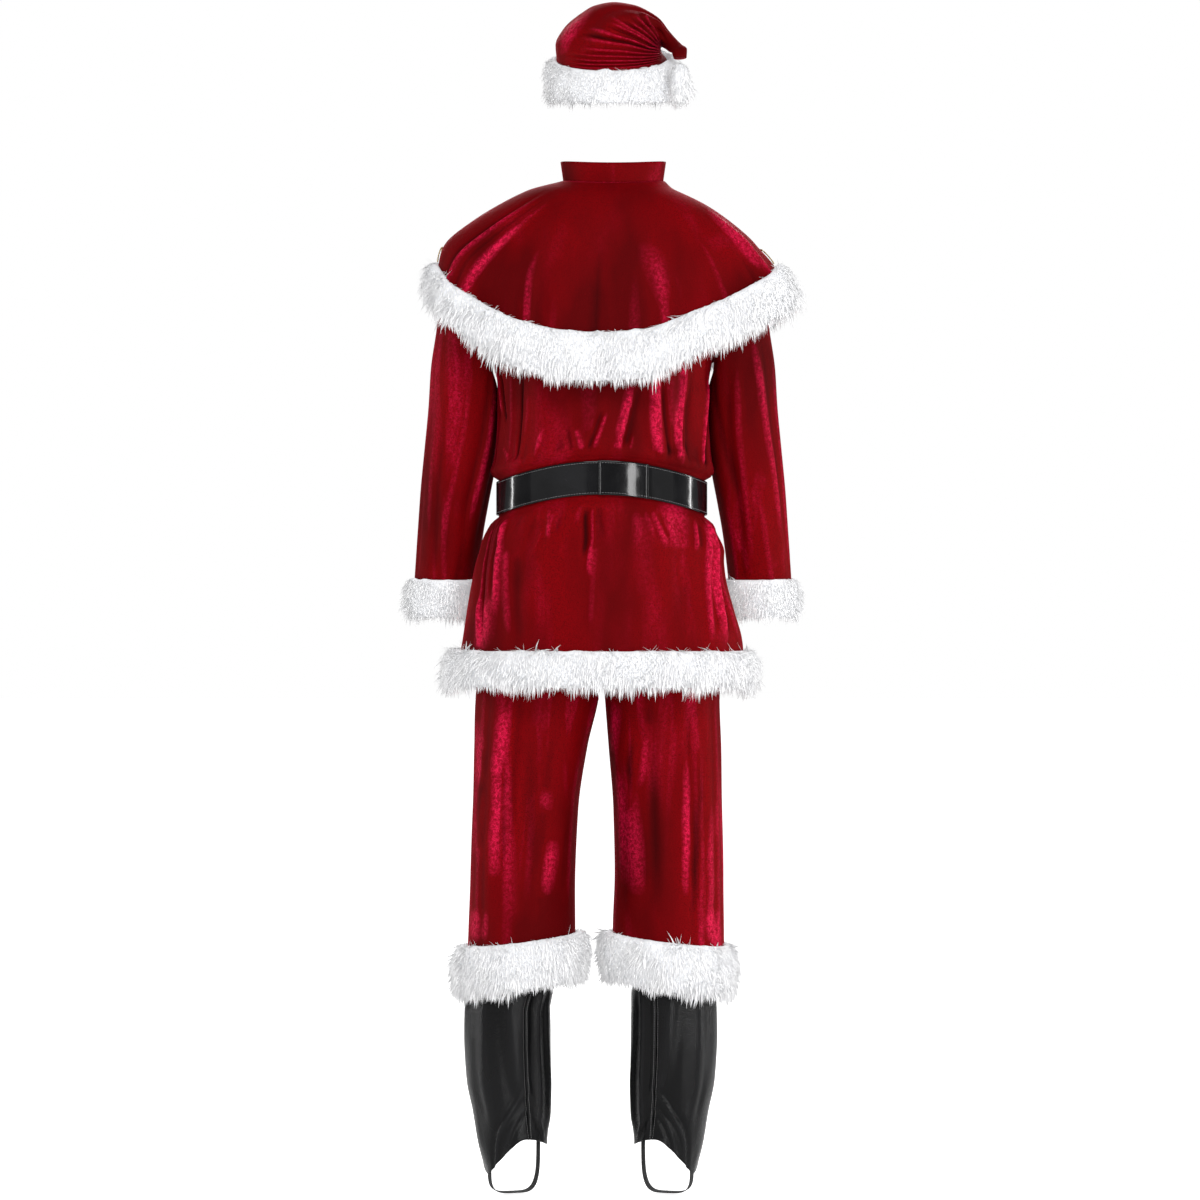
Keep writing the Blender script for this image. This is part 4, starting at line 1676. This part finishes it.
# Boot covers: two halves of soft black artificial leather for each leg, seamed behind and in front, cut
# higher over the heel and pointed over the outer ankle, held down by an elastic strap under the shoe.
# Columns: height at heel, at outer side, at toe and at inner side, half width, reach to heel, reach to toe,
# how far the ring stands toward the other leg
BOOT_ROWS = (
    (0.4300, 0.4300, 0.4300, 0.4300, 0.0580, 0.0590, 0.0600, 0.000),
    (0.3450, 0.3450, 0.3450, 0.3450, 0.0600, 0.0600, 0.0620, 0.000),
    (0.3000, 0.3000, 0.3000, 0.3000, 0.0655, 0.0640, 0.0670, 0.000),
    (0.2500, 0.2500, 0.2500, 0.2500, 0.0665, 0.0660, 0.0690, 0.000),
    (0.1900, 0.1850, 0.1850, 0.1900, 0.0650, 0.0620, 0.0720, 0.002),
    (0.1500, 0.1350, 0.1450, 0.1450, 0.0595, 0.0580, 0.0760, 0.006),
    (0.1200, 0.0900, 0.1150, 0.1150, 0.0545, 0.0560, 0.0830, 0.009),
    (0.0950, 0.0370, 0.0820, 0.0810, 0.0450, 0.0570, 0.0880, 0.015),
)
# Columns: half of the cover, from degrees, to degrees, columns between them, its cut's width and area
BOOT_HALVES = (
    ("outer", -90.0, 115.0, 52, 0.250, 0.087),
    ("inner", 115.0, 270.0, 40, 0.190, 0.066),
)
BOOT_SEAM, BOOT_HEEL_DEGREES = 115.0, 20.0
# Columns: side, centre x at the ankle, lean of the hidden top, toe turned out in degrees, outer side
BOOTS = (("left", 0.1490, -0.0130, 27, 1), ("right", -0.1105, 0.0040, 27, -1))
BOOT_CENTRE_Y, BOOT_SEAM_DEGREES, LEATHER = 0.010, 0.15, 0.0012
BOOT_LEANS_BETWEEN, BOOT_TURNS_BETWEEN = (0.290, 0.345), (2.5, 7.0)
# Columns: degrees around, depth, row before the one where it starts
BOOT_FOLDS = (
    (60, 0.0030, 2.0),
    (105, -0.0030, 3.0),
    (150, 0.0030, 2.5),
    (215, -0.0030, 3.0),
    (300, 0.0030, 3.0),
    (335, -0.0030, 2.5),
)
BOOT_FOLD_WIDTH, BOOT_FOLDS_END = 16, 6.0
# Columns: degrees at the upper end, that end in rows, degrees at the lower end, that end in rows, half
# width, depth
BOOT_CREASES = (
    (112, 4.4, 36, 7.3, 4, 0.0034),
    (106, 4.5, 26, 7.2, 4, -0.0030),
    (112, 5.2, 58, 7.4, 4, 0.0030),
    (110, 5.5, 70, 7.4, 4, -0.0026),
    (92, 1.6, 106, 4.4, 8, 0.0024),
    (80, 1.4, 94, 5.0, 7, -0.0022),
    (56, 1.5, 60, 5.5, 8, 0.0018),
    (40, 1.6, 44, 5.2, 6, -0.0016),
    (118, 4.2, 148, 7.0, 4, 0.0026),
    (121, 4.8, 160, 7.2, 4, -0.0024),
    (117, 5.4, 134, 7.4, 3, 0.0020),
    (126, 1.4, 124, 5.0, 4, -0.0024),
    (138, 1.4, 134, 6.0, 4, 0.0032),
    (149, 1.6, 147, 6.0, 4, -0.0026),
    (160, 1.8, 158, 6.2, 5, 0.0024),
    (200, 2.0, 206, 6.2, 7, 0.0020),
    (250, 2.4, 244, 6.4, 7, -0.0020),
    (320, 2.4, 316, 6.4, 7, 0.0020),
)
STRAP_WIDTH, STRAP_THICKNESS, STRAP_CLEARANCE, STRAP_TOWARD_TOE = 0.020, 0.0012, 0.004, 12.0
STRAP_POINTS, STRAP_LOW, STRAP_RISE, STRAP_ACROSS = 56, 0.003, 0.006, 6
BOOT_STEPS, BOOT_WALL, BOOT_HEM_ROLL, BOOT_HEM_ROLL_WIDTH = 84, 0.0011, 0.0008, 0.10
# Beside each seam the leather rises in a ridge and sinks into a groove: height or depth, width in degrees
SEAM_RIDGE, SEAM_GROOVE = (0.0009, 4.0), (0.0012, 0.9)
BOOT_STITCH_OFFSETS, BOOT_STITCH_LIFT = (-2.6, 2.6), 0.0009
boot_row = curve_through([(k, *columns) for k, columns in enumerate(BOOT_ROWS)])

leather, tree, shader, place = new_finish("black_artificial_leather")
grain_cells = put(tree, "ShaderNodeTexVoronoi", {"Vector": place, "Scale": 620.0}).outputs["Distance"]
creeping = grained(tree, vectors(tree, "MULTIPLY", place, (17.0, 17.0, 4.0)), 1.0, 1.5)
crease_mark = put(tree, "ShaderNodeAttribute", attribute_name="crease").outputs["Fac"]
worn_ridge = ranged(tree, crease_mark, 0.1, 0.9, 0.0, 0.6)
dim, lit = (0.002, 0.002, 0.0022, 1.0), (0.005, 0.005, 0.0055, 1.0)
colour = mixed(tree, ranged(tree, creeping, 0.35, 0.7), dim, lit)
relief = maths(tree, "ADD", maths(tree, "MULTIPLY", grain_cells, 0.07), maths(tree, "MULTIPLY", creeping, 3.0))
fill(tree, shader, {
    "Base Color": mixed(tree, worn_ridge, colour, (0.012, 0.012, 0.013, 1.0)),
    "Roughness": ranged(tree, creeping, 0.3, 0.7, 0.20, 0.30),
    "Specular IOR Level": 0.17,
    "Normal": bumped(tree, 0.9, 0.0050, relief),
})


def boot_point(boot, degrees, row):
    """A point of a boot cover's inner face; 0 degrees is its outer side, 90 the heel, 270 the toe."""
    _, centre_x, lean, turn_out, outer = boot
    heel, outside, toe, inside, half_width, to_heel, to_toe, inward = boot_row(row)
    c, s = math.cos(math.radians(degrees)), math.sin(math.radians(degrees))
    to_rim = math.radians(degrees - (BOOT_HEEL_DEGREES * s * s if s > 0 else 0.0))
    side_height = outside if math.cos(to_rim) > 0 else inside
    height = side_height + ((heel if s > 0 else toe) - side_height) * math.sin(to_rim) ** 2
    fold = sum(
        depth * bump(apart(degrees, at), BOOT_FOLD_WIDTH) * fade(row, first + 1, BOOT_FOLDS_END, 0.8)
        for at, depth, first in BOOT_FOLDS
    )
    x = (half_width + fold) * c
    y = ((to_heel if s > 0 else to_toe) + fold) * s
    turned = math.radians(turn_out) * smooth(*BOOT_TURNS_BETWEEN, row) * (0.5 - 0.5 * s)
    x, y = x * math.cos(turned) - y * math.sin(turned), x * math.sin(turned) + y * math.cos(turned)
    leaned = lean * smooth(*BOOT_LEANS_BETWEEN, height)
    return Vector((centre_x + leaned + outer * (x - inward), BOOT_CENTRE_Y + y, height + GROUND))


elastic, tree, shader, _ = new_finish("black_elastic")
rib_uv = put(tree, "ShaderNodeUVMap", uv_map="cut").outputs[0]
ribs = put(tree, "ShaderNodeTexWave", {"Vector": rib_uv, "Scale": 260.0, "Distortion": 0.2}).outputs["Fac"]
fill(tree, shader, {
    "Base Color": mixed(tree, ribs, (0.006, 0.006, 0.006, 1.0), (0.022, 0.022, 0.023, 1.0)),
    "Normal": bumped(tree, 0.5, 0.0005, ribs),
    "Roughness": 0.8,
})


def seam_relief(degrees):
    """How far the leather stands out beside the seams behind and in front."""
    return sum(
        sign * size * bump(apart(degrees, seam), width)
        for sign, (size, width) in ((1, SEAM_RIDGE), (-1, SEAM_GROOVE))
        for seam in (BOOT_SEAM, 270.0)
    )


black_thread = yarn("black_thread", (0.05, 0.05, 0.05, 1.0), (0.22, 0.22, 0.22, 1.0))
for boot in BOOTS:
    side_name, outer_side = boot[0], boot[-1]
    last = len(BOOT_ROWS) - 1
    places = [last * (1.0 - k / BOOT_STEPS) for k in range(BOOT_STEPS + 1)]
    for where, first, end, columns, cut_width, cut_area in BOOT_HALVES:
        span = end - first - 2 * BOOT_SEAM_DEGREES
        angles = [first + BOOT_SEAM_DEGREES + span * k / columns for k in range(columns + 1)]
        if outer_side < 0:
            angles = angles[::-1]
        grid = [[boot_point(boot, a, place) for a in angles] for place in places]
        creases = []
        for place in places:
            hem_roll = BOOT_HEM_ROLL * bump(place - last, BOOT_HEM_ROLL_WIDTH)
            fine = [crease_height(BOOT_CREASES, a, place, 0.5) for a in angles]
            creases.append([crease + seam_relief(a) + hem_roll for crease, a in zip(fine, angles)])
        name = f"leather_boot_{where}_{side_name}"
        half_cover = cloth(name, grid, creases, leather, wall=BOOT_WALL, gauge=LEATHER)
        worn(half_cover, "black_artificial_leather", f"boot_cover_{where}_{side_name}")

    strap_rows = []
    outer_end = boot_point(boot, -STRAP_TOWARD_TOE, last)
    inner_end = boot_point(boot, 180.0 + STRAP_TOWARD_TOE, last)
    across = outer_end - inner_end
    across.z = 0.0
    reach, middle = across.length / 2, (outer_end + inner_end) / 2
    across.normalize()
    forward = Vector((0, 0, 1)).cross(across)
    for k in range(STRAP_POINTS + 1):
        turn = math.pi * k / STRAP_POINTS
        end = (outer_end if k * 2 < STRAP_POINTS else inner_end).z - GROUND
        spread = math.copysign(abs(math.cos(turn)) ** 0.5, math.cos(turn))
        spot = middle + across * (reach - STRAP_CLEARANCE) * spread
        spot.z = end + STRAP_RISE + (STRAP_LOW - end - STRAP_RISE) * math.sin(turn) ** 0.5 + GROUND
        shares = [j / STRAP_ACROSS - 0.5 for j in range(STRAP_ACROSS + 1)]
        strap_rows.append([spot + forward * STRAP_WIDTH * share for share in shares])
    flat = [[0.0] * len(row) for row in strap_rows]
    band = cloth(f"elastic_strap_{side_name}", strap_rows, flat, elastic, wall=BOOT_WALL, gauge=STRAP_THICKNESS)
    worn(band, "black_elastic", f"boot_strap_{side_name}")

    lines = []
    for offset in BOOT_STITCH_OFFSETS:
        line = []
        for place in places:
            spot = boot_point(boot, BOOT_SEAM + offset, place)
            outward = Vector((spot.x - boot[1], spot.y - BOOT_CENTRE_Y, 0.0)).normalized()
            lift = crease_height(BOOT_CREASES, BOOT_SEAM + offset, place, 0.5) + LEATHER + BOOT_STITCH_LIFT
            line.append(spot + outward * lift)
        lines.append(line)
    sewn_along(
        f"boot_stitches_{side_name}", lines, black_thread,
        step=0.0036, length=0.0022, width=0.00035,
    )
